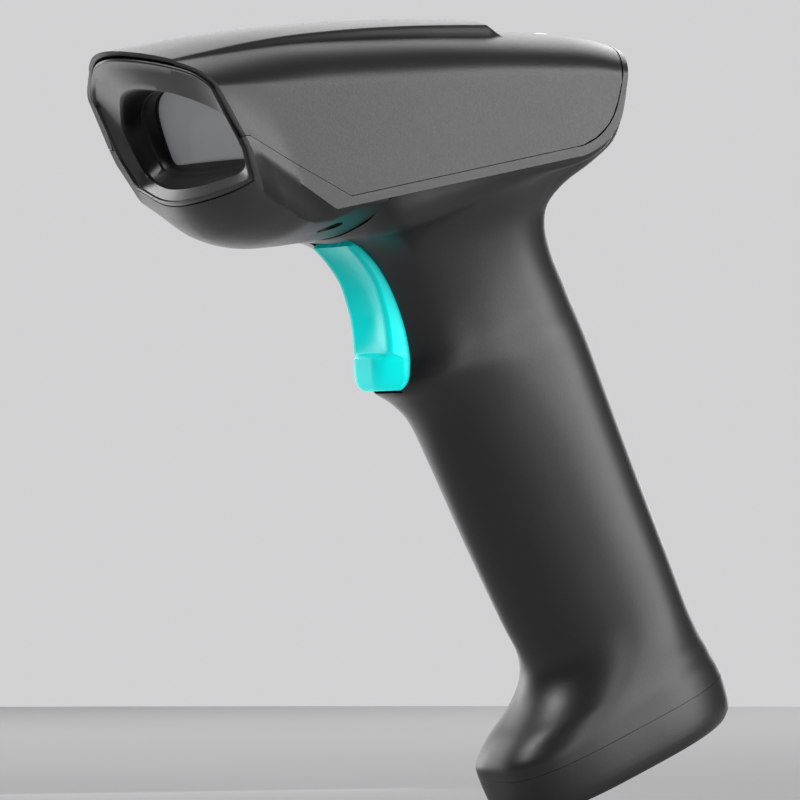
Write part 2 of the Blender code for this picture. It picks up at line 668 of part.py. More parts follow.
def trigger():
    levels = [79.3, 79.6, 80.2, 81.2, 83.6, 86.5, 89.5, 92.5, 95.5, 98.5, 101.5, 104.3, 106.8, 109.4]
    across = [-8.5, -7.9, -6.6, -4.4, -2.2, 0.0, 2.2, 4.4, 6.6, 7.9, 8.5]
    rings = []
    for z in levels:
        front, back, dish = TRIGGER_FRONT(z), TRIGGER_BACK(z), DISH(z)
        narrow = TRIGGER_SIDE(z) / TRIGGER_HALF
        ring = []
        for x in across:
            edge = 0.8 * max(0.0, (abs(x) - 7.6) / 0.9)
            bowl = dish * (1 - min(1.0, abs(x) / 6.6) ** 2)
            ring.append((x * narrow, min(front + edge + bowl, back - 1.0), z))
        for x in reversed(across):
            ring.append((x * narrow, back, z))
        rings.append(ring)
    top = [(x, PIVOT.y + (2.2 if k >= 11 else -2.6), PIVOT.z + 2.4)
           for k, (x, _, _) in enumerate(rings[-1])]
    rings.append([(x * 0.86, y, z) for x, y, z in top])
    obj = piece("trigger", "cyan", *stack(rings))
    tools = [turned("hole", "cyan", [(1.05, -12), (1.05, 12)], frame(PIVOT, (1, 0, 0), (0, 1, 0)), 16),
             block("room", "cyan", (7.4, 12, 8.6), frame(PIVOT + Vector((0, 0, 0.9)), (0, 0, 1)))]
    obj = cut(obj, tools)
    obj.data.transform(Matrix.Translation(-PIVOT * MM))
    obj.location = PIVOT * MM
    return obj


def torsion_spring():
    """Three turns of wire round the pin with two short legs."""
    turns, steps, wire, radius = 3, 12, 0.26, 1.75
    path = [Vector((-2.4, 2.6, -4.4)), Vector((-2.4, 1.75, -1.6))]
    for k in range(turns * steps + 1):
        a = 2 * math.pi * k / steps
        path.append(Vector((-2.4 + 4.8 * k / (turns * steps), radius * math.cos(a),
                            radius * math.sin(a))))
    path += [Vector((2.4, 1.75, 1.6)), Vector((2.4, 3.0, 2.6))]
    rings = []
    for k, p in enumerate(path):
        tangent = (path[min(k + 1, len(path) - 1)] - path[max(k - 1, 0)]).normalized()
        side = tangent.cross(Vector((1, 0, 0.01))).normalized()
        up = side.cross(tangent)
        ring = [p + PIVOT + (side * math.cos(a) + up * math.sin(a)) * wire
                for a in (2 * math.pi * i / 6 for i in range(6))]
        rings.append([tuple(v) for v in ring])
    piece("trigger_spring", "steel", *stack(rings))


def switch():
    press = Vector((0, 1, 0.12)).normalized()
    tip = Vector((0, -54.5, 97.6))
    turned("switch_plunger", "white", [(1.0, 0), (1.2, 0.3), (1.2, 2.9), (1.9, 2.9), (1.9, 3.7)],
           frame(tip, press), 14)
    body = block("switch_body", "black", (6.2, 6.2, 4.2), frame(tip + press * 4.1, press), 0.5)
    cut(body, [turned("bore", "black", [(1.45, -6), (1.45, -1.5), (2.2, -1.5), (2.2, 1.7)],
                      frame(tip + press * 4.1, press), 14)])
    block("switch_board", "board", (15, 20, 1.2), frame(tip + press * 7.1, press), 1.0)


# ---------------------------------------------------------------- engine and boards
def engine():
    y0, zc = -93.0, 134.6
    back = (0, 1, 0)
    body = block("engine_body", "black", (25, 13.6, 11), frame((0, y0 + 7.5, zc), back), 0.8)
    tools = [turned("bore", "black", [(4.35, -8), (4.35, 3.2)], frame((0, y0 + 7.5, zc), back), 24)]
    for x in (-8.6, 8.6):
        tools.append(turned("bore", "black", [(2.35, -8), (2.35, -2.6)],
                            frame((x, y0 + 7.5, zc + 1.5), back), 16))
    tools.append(turned("bore", "black", [(1.3, -8), (1.3, -2.6)],
                        frame((5.6, y0 + 7.5, zc - 4.7), back), 12))
    cut(body, tools)
    turned("lens_barrel", "dark", [(4.05, 0.6), (4.05, 9.8), (2.7, 9.8), (2.7, 2.6), (3.3, 0.6)],
           frame((0, y0 + 0.8, zc), back), 24)
    turned("lens_glass", "lens", [(0.9, 0), (1.9, 0.25), (2.4, 0.9), (2.4, 2.2)],
           frame((0, y0 + 3.9, zc), back), 20)
    for name, x in (("light_lens_l", 8.6), ("light_lens_r", -8.6)):
        turned(name, "glass", [(0.8, 0), (1.6, 0.3), (2.05, 1.0), (2.05, 3.0)],
               frame((x, y0 + 1.6, zc + 1.5), back), 16)
    turned("aimer_lens", "lens", [(0.4, 0), (0.8, 0.2), (1.0, 0.6), (1.0, 2.8)],
           frame((5.6, y0 + 1.8, zc - 4.7), back), 12)
    block("image_sensor", "lens", (5.4, 4.2, 0.9), frame((0, y0 + 12.75, zc), back))
    pocket = block("pocket", "black", (6, 4.8, 6), frame((0, y0 + 13, zc), back))
    cut(body, [pocket])
    board = block("engine_board", "board", (27, 15, 1.0), frame((0, y0 + 14.0, zc), back), 0.6)
    holes = []
    for side in (1, -1):
        spot = frame((side * 11.6, y0 + 15, zc - 5.6), back)
        cut(body, [turned("bore", "black", [(1.1, -4.4), (1.1, 0)], spot, 12)])
        holes.append(turned("hole", "board", [(1.1, -3), (1.1, 3)], spot, 12))
    cut(board, holes)
    engine_chassis(y0, zc)
    for name, side in (("engine_screw_l", 1), ("engine_screw_r", -1)):
        screw(name, (side * 11.6, y0 + 14.8, zc - 5.6), back, 1.7, 0.8, 0.8)


def engine_chassis(y0, zc):
    """U-shaped cradle under and beside the engine."""
    a, b, h = 13.2, 15.0, 8.4
    plan = [(-b, -h - 1.8), (b, -h - 1.8), (b, h - 2), (a, h - 2), (a, -h), (-a, -h), (-a, h - 2),
            (-b, h - 2)]
    rings = [[(x, y0 + d, zc + z) for x, z in plan] for d in (2.2, 13.2)]
    piece("engine_chassis", "dark", *stack(rings), smooth=False)


def screw(name, spot, up, head_r, head_h, shank, look="steel"):
    """Pan-head screw whose head seat is at spot and whose shank runs against up."""
    place = frame(spot, up, (1, 0, 0) if abs(Vector(up).normalized().x) < 0.9 else (0, 1, 0))
    obj = turned(name, look, [(0.55, -2.4 - shank), (0.8, -2.0 - shank), (0.8, 0), (head_r, 0),
                              (head_r, head_h * 0.6), (head_r * 0.78, head_h)], place, 12)
    arm = head_r * 0.95
    bars = [block("bar", look, (arm, head_r * 0.28, 1.2), place @ Matrix.Translation((0, 0, head_h))),
            block("bar", look, (head_r * 0.28, arm, 1.2), place @ Matrix.Translation((0, 0, head_h)))]
    return cut(obj, bars)


def main_board():
    z = 139.0
    up = (0, 0, 1)
    board = block("main_board", "board", (46, 54, 1.4), frame((0, -45, z), up), 2.0)
    spots = [(19.5, -68), (-19.5, -68), (19.5, -22), (-19.5, -22)]
    holes = [turned("hole", "board", [(1.3, -3), (1.3, 3)], frame((x, y, z), up), 12)
             for x, y in spots]
    cut(board, holes)
    for k, (x, y) in enumerate(spots):
        screw(f"board_screw_{k + 1}", (x, y, z + 1.0), up, 2.0, 1.1, 1.2)
    top = z + 0.7 + GAP
    block("cpu_chip", "chip", (12, 12, 1.4), frame((-6, -52, top + 0.7), up), 0.5)
    block("memory_chip", "chip", (8, 11, 1.2), frame((10, -52, top + 0.6), up), 0.3)
    block("radio_module", "tin", (11, 15, 2.2), frame((8, -34, top + 1.1), up), 0.4)
    block("board_connector", "white", (16, 4.2, 3.2), frame((0, -67.5, top + 1.6), up), 0.3)
    block("battery_connector", "white", (7, 4.6, 4.0), frame((-14, -38, z - 0.7 - GAP - 2.0), up), 0.3)
    block("status_led", "white", (3.0, 3.0, 1.6), frame((0, -20.4, top + 0.8), up), 0.3)
    buzzer = turned("buzzer", "chip", [(5.6, 0), (6.0, 0.4), (6.0, 5.6), (5.6, 6.0)],
                    frame((-11, -32, top), up), 24)
    cut(buzzer, [turned("hole", "chip", [(1.0, 2.0), (1.0, 8)], frame((-11, -32, top), up), 12)])


def flex_cable():
    """Thin ribbon from the engine board to the main board connector."""
    path = [(-78.2, 130.6), (-77.0, 130.6), (-75.6, 131.6), (-74.9, 134.0), (-74.6, 139.0),
            (-73.9, 141.2), (-72.0, 142.0), (-70.1, 142.0)]
    loop = []
    for y, z in path:
        loop.append((y, z))
    back = []
    for k, (y, z) in enumerate(path):
        a, b = path[max(k - 1, 0)], path[min(k + 1, len(path) - 1)]
        d = Vector((b[0] - a[0], b[1] - a[1])).normalized()
        back.append((y - d.y * 0.3, z + d.x * 0.3))
    ring = loop + list(reversed(back))
    rings = [[(x, y, z) for y, z in ring] for x in (-6.0, 6.0)]
    piece("flex_cable", "amber", *stack(rings), smooth=False)


# ---------------------------------------------------------------- battery and base
def battery():
    cell = AXIS * 20.0 + LONG * 8.6
    turned("battery_cell", "wrap", [(7.6, 0), (9.0, 0.5), (9.0, 63.6), (8.2, 64.2), (3.4, 64.2),
                                    (3.2, 65.2)], frame(cell, AXIS), 28)
    turned("battery_contact_top", "brass", [(5.0, 0), (5.0, 0.6)], frame(cell + AXIS * 65.6, AXIS), 16)
    turned("battery_contact_base", "brass", [(6.0, 0), (6.0, 0.6)], frame(cell - AXIS * 0.9, AXIS), 16)
    holder = block("battery_cradle", "black", (22.0, 22.0, 71.0), frame(cell + AXIS * 32.6, AXIS), 3.0)
    place = frame(cell + AXIS * 32.6, AXIS)
    cut(holder, [turned("bore", "black", [(9.4, -34.1), (9.4, 34.1)], place, 28),
                 block("open", "black", (30, 13, 60), place @ Matrix.Translation((0, -10.0, 0)))])


def power_unit():
    """Charging board and socket behind the opening in the base."""
    low = AXIS * 14.4
    board = block("charge_board", "board", (24, 34, 1.2), frame(low + LONG * -3.0, AXIS), 2.0)
    port = AXIS * 7.9 + LONG * -16.0
    shell = rounded_slot("usb_socket", 9.0, 3.3, frame(port, AXIS), -5.4, 5.4, look="tin")
    cut(shell, [rounded_slot("mouth", 8.4, 2.7, frame(port, AXIS), -8, 4.4)])
    block("usb_tongue", "chip", (6.6, 0.8, 8.2), frame(port, AXIS), 0.0)
    return board


def screws():
    for name, side in (("chin_screw_l", 1), ("chin_screw_r", -1)):
        place = chin_boss(side)
        spot, up = place @ Vector((0, 0, 4.7)), -(place.to_3x3() @ Vector((0, 0, 1)))
        screw(name, spot, up, 2.3, 1.1, 2.0)
    for name, pos in (("base_screw_front", -23.5), ("base_screw_rear", 20.5)):
        screw(name, AXIS * 0.95 + LONG * pos, -AXIS, 2.2, 0.7, 2.0)


def main():
    for obj in list(bpy.data.objects):
        bpy.data.objects.remove(obj)
    upper_shell()
    chin_frame()
    handle_shell()
    base_cap()
    nose_bezel()
    window()
    status_lens()
    trigger()
    turned("trigger_pin", "steel", [(0.8, 0), (1.0, 0.2), (1.0, 20.4), (0.8, 20.6)],
           frame(PIVOT - Vector((10.3, 0, 0)), (1, 0, 0), (0, 1, 0)), 16)
    torsion_spring()
    switch()
    engine()
    main_board()
    flex_cable()
    battery()
    power_unit()
    screws()


main()
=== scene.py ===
"""Looks for the handheld barcode scanner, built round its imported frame. Lengths in mm, +Z up."""

import math

import bmesh
import bpy
import numpy as np
from mathutils import Matrix, Vector


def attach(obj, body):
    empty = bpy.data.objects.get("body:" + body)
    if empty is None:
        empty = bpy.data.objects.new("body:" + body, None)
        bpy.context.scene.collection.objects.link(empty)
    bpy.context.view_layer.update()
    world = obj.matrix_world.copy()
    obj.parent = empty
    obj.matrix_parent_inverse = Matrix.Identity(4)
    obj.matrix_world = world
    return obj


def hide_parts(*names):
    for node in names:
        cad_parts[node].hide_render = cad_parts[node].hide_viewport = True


MM = 0.001
MERGE = 0.000003  # points closer than this, in metres, are one point
GAP = 0.3  # working gap between parts
SEAM_GAP = 0.16  # moulded seams as they show
WALL = 2.0

HANDLE_TILT = math.radians(24.4)
AXIS = Vector((0.0, -math.sin(HANDLE_TILT), math.cos(HANDLE_TILT)))  # up the handle
LONG = Vector((0.0, math.cos(HANDLE_TILT), math.sin(HANDLE_TILT)))  # handle, front to back
CAP_HEIGHT = 9.2

# The head is lofted from the nose face, t = 0, to the rear face, t = 1.
HEAD_HALF = 30.5  # half width
NOSE_HALF = 31.7  # half width at the nose face
NOSE_Y, NOSE_Z = -105.5, 115.8
NOSE_LEAN, NOSE_BOW = 0.545, 6.4
NOSE_MID = 132.5  # height of the nose face's middle
REAR_Y, REAR_BOW = -9.0, 6.8
SEAM_T = 0.3142  # rear end of the chin
HOOP_T = 0.9865  # front of the band over the rear
SHELL_T = 0.983  # rear end of the top shell

PIVOT = Vector((0.0, -62.8, 113.2))  # trigger hinge
WINDOW_TILT = math.radians(13.0)
WINDOW_Y, WINDOW_MID = -100.2, 134.5  # middle of the window
LENS_Y = -20.4  # status lens

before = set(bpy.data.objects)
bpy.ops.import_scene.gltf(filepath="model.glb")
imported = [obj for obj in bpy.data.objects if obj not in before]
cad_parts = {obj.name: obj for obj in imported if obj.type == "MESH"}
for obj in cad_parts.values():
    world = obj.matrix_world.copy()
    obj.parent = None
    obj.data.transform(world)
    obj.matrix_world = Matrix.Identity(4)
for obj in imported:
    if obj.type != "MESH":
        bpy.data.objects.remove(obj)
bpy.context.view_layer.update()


# ---------------------------------------------------------------- curves
def line(points):
    """Straight runs through the points."""
    xs, ys = zip(*points)
    return lambda x: float(np.interp(x, xs, ys))


def curve(points):
    """Smooth curve through the points that never overshoots them."""
    xs, ys = (np.array(v, float) for v in zip(*points))
    d = np.diff(ys) / np.diff(xs)
    m = np.empty(len(xs))
    m[0], m[-1] = d[0], d[-1]
    for i in range(1, len(d)):
        same = d[i - 1] * d[i] > 0
        m[i] = 2 * d[i - 1] * d[i] / (d[i - 1] + d[i]) if same else 0.0

    def at(x):
        x = min(max(x, xs[0]), xs[-1])
        i = min(max(int(np.searchsorted(xs, x)) - 1, 0), len(xs) - 2)
        h = xs[i + 1] - xs[i]
        s = (x - xs[i]) / h
        return float(
            ys[i] * (1 + 2 * s) * (1 - s) ** 2 + h * m[i] * s * (1 - s) ** 2
            + ys[i + 1] * s * s * (3 - 2 * s) + h * m[i + 1] * s * s * (s - 1)
        )
    return at


def smooth(x, low, high):
    s = min(max((x - low) / (high - low), 0.0), 1.0)
    return s * s * (3 - 2 * s)


# Side-view heights along y, then widths and powers along t.
TOP = curve([(-125, 148.5), (-115, 150.2), (-106, 151.7), (-96.6, 152.9), (-87, 153.9),
             (-78, 154.6), (-68, 155.2), (-58, 155.6), (-39, 155.9), (-24, 155.7),
             (-16, 155.1), (-12, 154.4), (-9, 153.6), (-8, 153.3)])
SHOULDER = curve([(-113, 140.3), (-94, 141.0), (-70.7, 142.5), (-46.9, 144.5), (-16, 145.6)])
GROOVE = line([(-106, 130.6), (-82, 118.8), (-27, 130.6), (-23.6, 132.4), (-20.9, 134.9),
               (-19.1, 138.0), (-18.2, 141.2), (-17.8, 144.5)])
EDGE = line([(-104, 127.4), (-85.4, 116.0), (-26.6, 128.5), (-22.3, 130.7), (-19.3, 133.6),
             (-17.5, 136.8), (-16.75, 140.6), (-16.5, 144.5)])
FACET_X = curve([(-101.5, 28.6), (-94, 27.6), (-89, 27.4), (-84, 28.6), (-80, 29.9), (-70, 30.0)])
FACET_Z = curve([(-101.5, 119.6), (-94.5, 115.6), (-89.4, 113.5), (-85, 113.9), (-80, 116.5),
                 (-73, 118.0), (-70, 118.7)])
BELLY = curve([(-106, 115.4), (-104.7, 114.4), (-103, 112.5), (-99.5, 110.3), (-95, 109.1),
               (-91, 108.7), (-85, 109.2), (-80, 109.9), (-72, 111.1)])
SPINE = curve([(0.0, 0.3), (0.12, 0.7), (0.345, 1.5), (0.475, 1.9), (0.78, 2.3)])
SPINE_END = line([(0.712, 1.0), (0.74, 0.0)])
ARCH_POWER = curve([(0.0, 1.75), (0.12, 1.95), (0.3, 2.2), (0.9, 2.2), (1.0, 2.0)])
HALF = curve([(0.0, NOSE_HALF), (0.05, 31.0), (0.11, HEAD_HALF), (1.0, HEAD_HALF)])
ROOF_HALF = curve([(0.0, 30.3), (0.05, 30.4), (0.11, HEAD_HALF), (1.0, HEAD_HALF)])

# height, front, back, widest place, half width, front power, back power
RINGS = [
    (9.35, -29.8, 27.4, 1.0, 17.0, 3.4, 2.8), (12.0, -29.6, 27.1, 1.5, 17.0, 3.3, 2.8),
    (14.2, -28.0, 26.8, 2.5, 17.0, 3.0, 2.7), (16.5, -25.0, 26.5, 4.0, 16.9, 2.8, 2.7),
    (19.0, -20.6, 26.0, 6.0, 16.8, 2.5, 2.6), (22.0, -16.4, 25.5, 8.0, 16.7, 2.3, 2.6),
    (25.5, -13.6, 25.1, 9.5, 16.6, 2.1, 2.6), (30.0, -12.2, 25.0, 10.5, 16.5, 2.0, 2.6),
    (38.0, -13.0, 25.1, 11.0, 16.5, 2.0, 2.6), (58.0, -14.4, 25.3, 11.0, 16.6, 2.0, 2.6),
    (78.0, -15.0, 25.7, 11.0, 16.8, 2.15, 2.6), (87.0, -15.4, 26.0, 11.0, 16.8, 2.4, 2.6),
]
# front, back, half width, front power, share of the head outline, its drop, sag
NECK = [
    ((-54.0, 76.6), (-14.4, 94.7), 16.9, 2.6, 0.00, 0.00, 0.0),
    ((-57.6, 79.0), (-15.7, 97.5), 16.9, 2.9, 0.01, 0.00, 0.0),
    ((-57.9, 82.0), (-17.2, 100.3), 17.0, 2.9, 0.02, 0.00, 0.0),
    ((-58.1, 85.6), (-18.8, 103.5), 17.1, 2.7, 0.04, 0.00, 0.0),
    ((-59.9, 93.0), (-21.9, 109.3), 17.7, 2.45, 0.09, -0.05, 0.0),
    ((-63.0, 100.9), (-24.0, 114.9), 18.9, 2.35, 0.20, -0.12, 0.0),
    ((-66.2, 105.9), (-23.9, 119.5), 20.4, 2.2, 0.33, -0.20, 0.0),
    ((-69.0, 108.7), (-20.5, 124.1), 22.4, 2.1, 0.48, -0.25, 0.0),
    ((-71.2, 110.1), (-14.4, 129.0), 24.4, 2.0, 0.64, -0.20, 0.0),
    ((-72.2, 110.6), (-9.8, 134.5), 26.2, 2.0, 0.80, -0.08, 1.6),
    ((-72.6, 110.8), (-8.6, 143.0), 27.6, 2.0, 0.93, 0.38, 2.0),
]


# ---------------------------------------------------------------- head surface
def nose_y(x, z):
    bow = math.sin(math.pi / 2 * min(1.0, abs(x) / NOSE_HALF)) ** 2
    return NOSE_Y - NOSE_LEAN * (z - NOSE_Z) + NOSE_BOW * bow


def head_point(t, x, z):
    rear = REAR_Y - REAR_BOW * (x / HEAD_HALF) ** 2
    return (x, (1 - t) * nose_y(x, z) + t * rear, z)


def level(profile, t, x):
    """Height where a side-view profile meets station t at half width x."""
    z = 130.0
    for _ in range(14):
        z = profile(head_point(t, x, z)[1])
    return z


def arch(t, xs, spine=True):
    """Roof points at station t for the half widths xs."""
    half, n = ROOF_HALF(t), ARCH_POWER(t)
    top, side = level(TOP, t, 0), level(SHOULDER, t, half)
    out = []
    for x in xs:
        z = side + (top - side) * max(0.0, 1 - (x / half) ** n) ** (1 / n)
        if spine:
            step = 1 - smooth(x, 19.3, 20.4)
            z += SPINE(t) * SPINE_END(t) * step
        out.append((x, z))
    return out


def roof_xs(t):
    """Half widths from the middle to the side, closer where the roof turns down."""
    half, n = ROOF_HALF(t), ARCH_POWER(t)
    inner = [0, 3, 6, 9, 12, 15, 17.5, 18.8, 19.3, 19.5, 19.7, 19.9, 20.1, 20.4, 21.0]
    start = math.acos(max(0.0, 1 - (21.0 / half) ** n) ** 0.5)
    for k in range(1, 25):
        a = start + (math.pi / 2 - start) * k / 24
        inner.append(half * math.sin(a) ** (2 / n))
    return inner


def chaikin(points, rounds):
    for _ in range(rounds):
        out = [points[0]]
        for a, b in zip(points, points[1:]):
            out.append(tuple(0.75 * p + 0.25 * q for p, q in zip(a, b)))
            out.append(tuple(0.25 * p + 0.75 * q for p, q in zip(a, b)))
        points = out + [points[-1]]
    return points


def chin_section(t):
    """Half section of the chin, from the groove to the middle of its underside."""
    half = HALF(t)
    edge = level(EDGE, t, half)
    y_edge = head_point(t, half, edge)[1]
    fx, fz = FACET_X(y_edge), min(level(FACET_Z, t, 29), edge - 0.5)
    low = level(BELLY, t, 0)
    groove = level(GROOVE, t, half) - SEAM_GAP / 2
    below = [(half, edge), (half + (fx - half) * 0.5, edge + (fz - edge) * 0.5), (fx, fz)]
    for x in (0.93, 0.86, 0.77, 0.68, 0.57, 0.46, 0.34, 0.23, 0.12, 0.0):
        below.append((fx * x, low + (fz - low) * x ** 1.7))
    band = [(half, groove), (half, (groove * 2 + edge) / 3), (half, (groove + edge * 2) / 3)]
    return band + chaikin(below, 1)


# ---------------------------------------------------------------- mesh tools
def sheet(rows, faces=None, verts=None):
    """Quads between rows of points, added to a mesh if one is given."""
    verts = [] if verts is None else verts
    faces = [] if faces is None else faces
    ids = []
    for row in rows:
        ids.append(list(range(len(verts), len(verts) + len(row))))
        verts.extend(row)
    for a, b in zip(ids, ids[1:]):
        for i in range(len(a) - 1):
            faces.append((a[i], a[i + 1], b[i + 1], b[i]))
    return verts, faces


def mirrored(verts, faces):
    n = len(verts)
    both = list(verts) + [(-x, y, z) for x, y, z in verts]
    return both, list(faces) + [tuple(n + i for i in reversed(f)) for f in faces]


def weld(verts, faces, tol=1e-4):
    seen, remap, out = {}, [], []
    for v in verts:
        key = tuple(round(c / tol) for c in v)
        if key not in seen:
            seen[key] = len(out)
            out.append(v)
        remap.append(seen[key])
    kept = []
    for f in faces:
        g = [remap[i] for i in f]
        g = [v for i, v in enumerate(g) if v != g[i - 1]]
        if len(set(g)) > 2:
            kept.append(tuple(g))
    return out, kept


def thicken(verts, faces, wall):
    """Solid shell inwards from a surface: outer points first, then the inner ones."""
    verts, faces = weld(verts, faces)
    p = np.array(verts, float)
    sums = np.zeros_like(p)
    for f in faces:
        q = p[list(f)]
        n = np.zeros(3)
        for i in range(len(q)):
            n += np.cross(q[i] - q[0], q[(i + 1) % len(q)] - q[0])
        area = np.linalg.norm(n)
        if area > 1e-12:
            for i in f:
                sums[i] += n / area
    size = np.linalg.norm(sums, axis=1)[:, None]
    walls = np.array([wall(*v) if callable(wall) else wall for v in p])[:, None]
    inner = p - sums / np.maximum(size, 1e-9) * walls
    k = len(p)
    out = list(faces) + [tuple(k + i for i in reversed(f)) for f in faces]
    edges = set()
    for f in faces:
        edges.update(zip(f, f[1:] + f[:1]))
    out += [(b, a, k + a, k + b) for a, b in edges if (b, a) not in edges]
    return [tuple(v) for v in np.vstack([p, inner])], out


def spline(points, steps):
    """Points on a smooth curve through the given points."""
    p = np.array(points, float)
    p = np.vstack([2 * p[0] - p[1], p, 2 * p[-1] - p[-2]])
    out = []
    for i in range(1, len(p) - 2):
        a, b, c, d = p[i - 1], p[i], p[i + 1], p[i + 2]
        t0, t1 = 0.0, max(np.linalg.norm(b - a), 1e-6) ** 0.5
        t2 = t1 + max(np.linalg.norm(c - b), 1e-6) ** 0.5
        t3 = t2 + max(np.linalg.norm(d - c), 1e-6) ** 0.5
        for k in range(steps):
            t = t1 + (t2 - t1) * k / steps
            e = a * (t1 - t) / (t1 - t0) + b * (t - t0) / (t1 - t0)
            f = b * (t2 - t) / (t2 - t1) + c * (t - t1) / (t2 - t1)
            g = c * (t3 - t) / (t3 - t2) + d * (t - t2) / (t3 - t2)
            h = e * (t2 - t) / (t2 - t0) + f * (t - t0) / (t2 - t0)
            j = f * (t3 - t) / (t3 - t1) + g * (t - t1) / (t3 - t1)
            out.append(tuple(h * (t2 - t) / (t2 - t1) + j * (t - t1) / (t2 - t1)))
    return out + [tuple(p[-2])]


def refine(rows, across, along):
    """A grid with smooth in-between points in both directions."""
    rows = [spline(row, across) for row in rows]
    columns = [spline([row[i] for row in rows], along) for i in range(len(rows[0]))]
    return [list(row) for row in zip(*columns)]


def mesh_object(name, verts, faces, merge=None):
    mesh = bpy.data.meshes.new(name)
    mesh.from_pydata([Vector(v) * MM for v in verts], [], faces)
    bm = bmesh.new()
    bm.from_mesh(mesh)
    if merge:
        bmesh.ops.remove_doubles(bm, verts=bm.verts, dist=merge)
    bmesh.ops.recalc_face_normals(bm, faces=bm.faces)
    if bm.calc_volume(signed=True) < 0:
        bmesh.ops.reverse_faces(bm, faces=bm.faces)
    bm.to_mesh(mesh)
    bm.free()
    obj = bpy.data.objects.new(name, mesh)
    bpy.context.scene.collection.objects.link(obj)
    return obj


def piece(name, verts, faces, body, slot, look, replaces=(), bevel=0.0, angle=30, segments=2):
    """A visible object on a body, standing for CAD nodes."""
    obj = mesh_object(name, verts, faces, MERGE)
    obj.data.materials.append(look)
    finish_edges(obj, bevel, angle, segments)
    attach(obj, body)
    if replaces:
        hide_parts(*replaces)
    return obj


def finish_edges(obj, bevel, angle, segments=2):
    obj.data.polygons.foreach_set("use_smooth", [True] * len(obj.data.polygons))
    if bevel:
        mod = obj.modifiers.new("bevel", "BEVEL")
        mod.width, mod.segments = bevel * MM, segments
        mod.limit_method, mod.angle_limit = "ANGLE", math.radians(angle)
        mod.harden_normals = True
        mod.use_clamp_overlap = True
    else:
        obj.data.set_sharp_from_angle(angle=math.radians(angle))


def stack(rings, cap=True):
    """Closed rings joined in order: capped at both ends, or the last joined to the first."""
    verts, faces = [], []
    n = len(rings[0])
    for ring in rings:
        verts.extend(ring)
    for k in range(len(rings) - 1):
        for i in range(n):
            j = (i + 1) % n
            faces.append((k * n + i, k * n + j, (k + 1) * n + j, (k + 1) * n + i))
    if cap:
        faces.append(tuple(reversed(range(n))))
        faces.append(tuple((len(rings) - 1) * n + i for i in range(n)))
    else:
        last = (len(rings) - 1) * n
        for i in range(n):
            j = (i + 1) % n
            faces.append((last + i, last + j, j, i))
    return verts, faces


def framed(origin, up, across=(1, 0, 0)):
    """Placement with its z along up."""
    z = Vector(up).normalized()
    x = Vector(across)
    x = (x - z * x.dot(z)).normalized()
    rot = Matrix((x, z.cross(x), z)).transposed().to_4x4()
    return Matrix.Translation(Vector(origin)) @ rot


def turned_mesh(profile, place, segments=48):
    """Solid of revolution from (radius, height) pairs."""
    angles = [2 * math.pi * i / segments for i in range(segments)]
    return stack([[tuple(place @ Vector((r * math.cos(a), r * math.sin(a), z))) for a in angles]
                  for r, z in profile])


def cutter(verts, faces):
    return mesh_object("cutter", verts, faces)


def boolean(obj, tools, operation="DIFFERENCE"):
    """Apply Booleans ahead of the bevel, then drop the tools."""
    kept = [(m.width, m.segments, m.angle_limit) for m in obj.modifiers if m.type == "BEVEL"]
    obj.modifiers.clear()
    for tool in tools:
        mod = obj.modifiers.new("cut", "BOOLEAN")
        mod.operation, mod.solver, mod.object = operation, "EXACT", tool
    deps = bpy.context.evaluated_depsgraph_get()
    mesh = bpy.data.meshes.new_from_object(obj.evaluated_get(deps), depsgraph=deps)
    look = obj.data.materials[0]
    obj.modifiers.clear()
    obj.data = mesh
    mesh.materials.clear()
    mesh.materials.append(look)
    mesh.polygons.foreach_set("material_index", [0] * len(mesh.polygons))
    for tool in tools:
        bpy.data.objects.remove(tool)
    bm = bmesh.new()
    bm.from_mesh(mesh)
    bmesh.ops.remove_doubles(bm, verts=bm.verts, dist=MERGE)
    bmesh.ops.dissolve_degenerate(bm, edges=bm.edges, dist=MERGE)
    bm.to_mesh(mesh)
    bm.free()
    for width, segments, angle in kept:
        finish_edges(obj, width / MM, math.degrees(angle), segments)
    return obj


